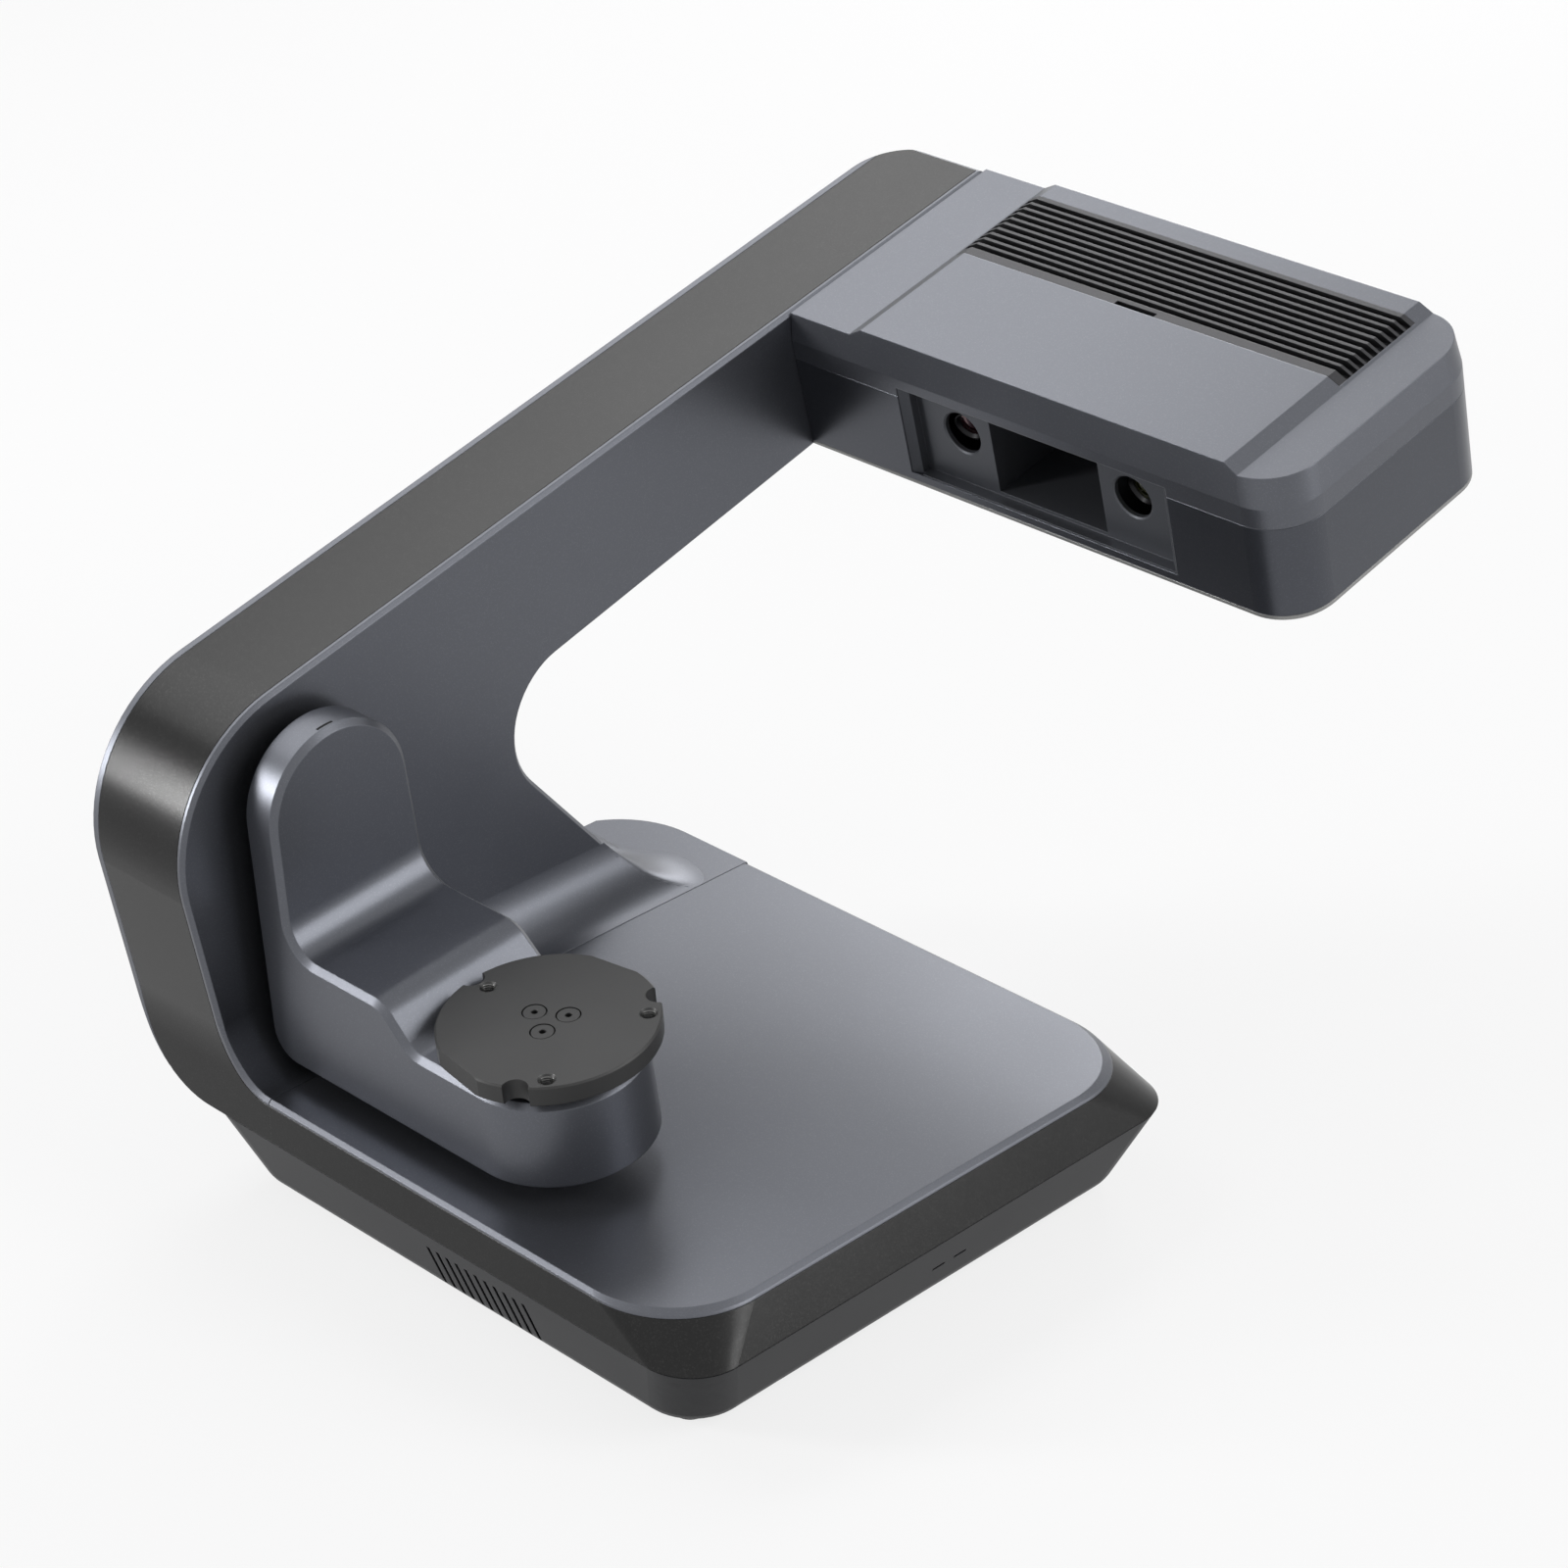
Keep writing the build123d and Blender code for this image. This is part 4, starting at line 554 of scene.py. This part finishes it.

    # the pin slot is not cut: a dark sheet that follows the crown is painted shade standing in for the slot's
    # hollow; its height is sqrt(r^2 - y^2)
    width, length = look["slot"]
    u, v = np.meshgrid(np.linspace(-0.5, 0.5, 3), np.linspace(-0.5, 0.5, 13), indexing="ij")
    inlay = np.stack((near - look["slotInset"] + u * width, v * length,
                      np.sqrt(radius ** 2 - (v * length) ** 2) + look["shadeLift"]), axis=2)
    slot = piece("cradlePinSlotPaintedShade", cradleToPart(inlay.reshape(-1, 3), look), gridFaces(3, 13)[:, ::-1],
                 "cradle", finishes["black_plastic"], closed=False)
    thicken(slot, look["shadeWall"])


makeCradle(cradle)
print("cradle moulding made")


# details of the turntable, in millimetres from the middle of its face
turntable = {
    "faceZ": -62.4,
    "rimSpots": ((-39.2, 0.0), (31.5, 30.5), (31.5, -30.5)),
    "mouthRadius": 4.15, "mouthLift": 0.02,
    "coneFoot": (0.22, -0.78), "skinFoot": (0.3, -0.95),  # how far out from the thread, and the height
    "skinMouth": (0.12, -0.2),  # how far out from the mouth, and the height
    "threadRadius": 3.22, "threadDepth": 0.32, "pitch": 1.25, "threadTop": 0.85, "holeDepth": 9.0,
    "threadRows": 54, "threadColumns": 48, "threadWall": 0.08,
    "screwDegrees": (60, 180, 300), "screwCircle": 9.0, "headRadius": 5.25, "headBottom": 4.95,
    "headDrop": 0.08, "headEdge": 0.25, "socketRadius": 1.5, "socketDepth": 2.6, "socketTaper": 0.1,
    "socketLip": (0.2, 0.3), "shankRadius": 2.5, "shankEnd": 17.9, "roundSteps": 40,
}


def latheGrid(profile, spots, steps):
    # a profile of radius and height turned about Z at each spot: x = r cos t, y = r sin t
    profile, spots = np.array(profile, float), np.array(spots, float)
    turn = np.linspace(0, 2 * math.pi, steps, endpoint=False)
    ring = np.stack((profile[:, 0, None] * np.cos(turn), profile[:, 0, None] * np.sin(turn),
                     np.repeat(profile[:, 1, None], steps, 1)), axis=2)
    placed = ring[None] + np.concatenate((spots, np.zeros((len(spots), 1))), axis=1)[:, None, None]
    faces = gridFaces(len(profile), steps, True)
    offset = np.arange(len(spots))[:, None, None] * len(profile) * steps
    return placed.reshape(-1, 3), (faces[None] + offset).reshape(-1, 4)


def onTable(points, look):
    # from the middle of the plate's face to the part's own frame
    return cradleToPart(points + np.array((cradle["tableX"], 0, look["faceZ"])), cradle)


def makeTurntable(look):
    # captive screws: flat heads a hair under the face, with a round socket
    head, socket, shank = look["headRadius"], look["socketRadius"], look["shankRadius"]
    drop, edge, bottom = -look["headDrop"], look["headEdge"], -look["headBottom"]
    floor, (lipWidth, lipDepth) = -look["socketDepth"], look["socketLip"]
    angle = np.radians(look["screwDegrees"])
    spots = look["screwCircle"] * np.stack((np.cos(angle), np.sin(angle)), axis=1)
    profile = [(0, floor), (socket - look["socketTaper"], floor), (socket, -lipDepth),
               (socket + lipWidth, drop), (head - edge, drop), (head, drop - edge), (head, bottom),
               (shank, bottom), (shank, -look["shankEnd"]), (0, -look["shankEnd"])]
    points, faces = latheGrid(profile, spots, look["roundSteps"])
    screws = piece("captiveScrews", onTable(points, look), faces, "turntable",
                   finishes["plate_black"])
    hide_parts("plate_screws")

    # rim holes: a thin bare countersink, down the cone and back up behind it
    mouth, thread, rimSpots = look["mouthRadius"], look["threadRadius"], np.array(look["rimSpots"])
    (footX, footZ), (skinX, skinZ), (lipX, lipZ) = look["coneFoot"], look["skinFoot"], look["skinMouth"]
    cone = [(mouth, look["mouthLift"]), (thread + footX, footZ), (thread + skinX, skinZ),
            (mouth + lipX, lipZ)]
    points, faces = latheGrid(cone, rimSpots, look["roundSteps"])
    piece("rimCountersinks", onTable(points, look), faces, "turntable",
          finishes["bare_aluminium"], 40)

    # the thread's radius is a triangle wave of height over pitch less the share of a turn
    rows, columns, holes = look["threadRows"], look["threadColumns"], len(rimSpots)
    turn = np.linspace(0, 2 * math.pi, columns, endpoint=False)
    height = np.linspace(-look["threadTop"], -look["holeDepth"], rows)[:, None]
    wave = np.abs(((height / look["pitch"] - turn / (2 * math.pi)) % 1.0) * 2 - 1)
    radius = thread - 0.5 * look["threadDepth"] + look["threadDepth"] * wave
    ring = np.stack((radius * np.cos(turn), radius * np.sin(turn), np.repeat(height, columns, 1)), axis=2)
    ring = ring.reshape(-1, 3)
    placed = ring[None] + np.concatenate((rimSpots, np.zeros((holes, 1))), axis=1)[:, None]
    faces = gridFaces(rows, columns, True)[None, :, ::-1] + np.arange(holes)[:, None, None] * len(ring)
    threads = piece("rimThreads", onTable(placed.reshape(-1, 3), look), faces.reshape(-1, 4), "turntable",
                    finishes["bare_aluminium"], 20, closed=False)
    thicken(threads, look["threadWall"])


makeTurntable(turntable)
print("turntable details made")


# the sweep round the arm's back corner, in millimetres
armRoot = {
    "wallX": -119.7, "originY": -254.74, "topZ": 66.5, "sweepRadius": 28.2, "footY": 261.7,
    "leanDegrees": 48.9, "blendRadius": 28.0, "reach": 0.5, "fade": 30.0, "lead": 2.0, "lift": (0.01, 0.02),
    "wall": 0.6, "steps": 25, "leadSteps": 5,
}


def makeArmRoot(look):
    # at each height the arm's inner sweep stands off its wall by R - sqrt(R^2 - (R - z)^2); that offset is
    # carried round the leaning corner as a quarter ellipse and dies away along the back as 1 - 3 s^2 + 2 s^3
    radius, lean, blend = look["sweepRadius"], math.radians(look["leanDegrees"]), look["blendRadius"]
    steps, leadSteps, (liftOut, liftUp) = look["steps"], look["leadSteps"], look["lift"]
    z = (radius * (1 - np.cos(np.linspace(0, math.pi / 2, steps))))[:, None]
    offset = radius - np.sqrt(np.maximum(radius ** 2 - (radius - z) ** 2, 0)) + liftOut

    # the back's own blend is a circle tangent to the base and to the lean
    tangent = blend * math.tan(lean / 2)
    above = blend - np.minimum(z, blend)
    curved = look["footY"] + tangent - np.sqrt(np.maximum(blend ** 2 - above ** 2, 0))
    backY = np.where(z < tangent * math.sin(lean), curved, look["footY"] - z / math.tan(lean))
    turn = np.linspace(0, math.pi / 2, steps)[None]
    s = np.linspace(0, 1, steps)[None, 1:]
    lead = -np.linspace(look["lead"], 0, leadSteps + 1)[None, :-1]
    x = look["wallX"] + np.concatenate((np.repeat(offset, leadSteps, 1), offset * np.cos(turn),
                                        np.repeat(-s * look["fade"], steps, 0)), axis=1)
    y = np.concatenate((backY + lead, backY + look["reach"] * offset * np.sin(turn),
                        backY + look["reach"] * offset * (1 - 3 * s ** 2 + 2 * s ** 3)), axis=1)
    height = np.repeat(z, x.shape[1], 1)
    points = np.stack((x, y + look["originY"], height + look["topZ"] + liftUp), axis=2)
    sweep = piece("armRootSweep", points.reshape(-1, 3), gridFaces(steps, x.shape[1]), "housing",
                  finishes["cover_grey"], 40, closed=False)
    thicken(sweep, look["wall"])


makeArmRoot(armRoot)
print("arm root sweep made")
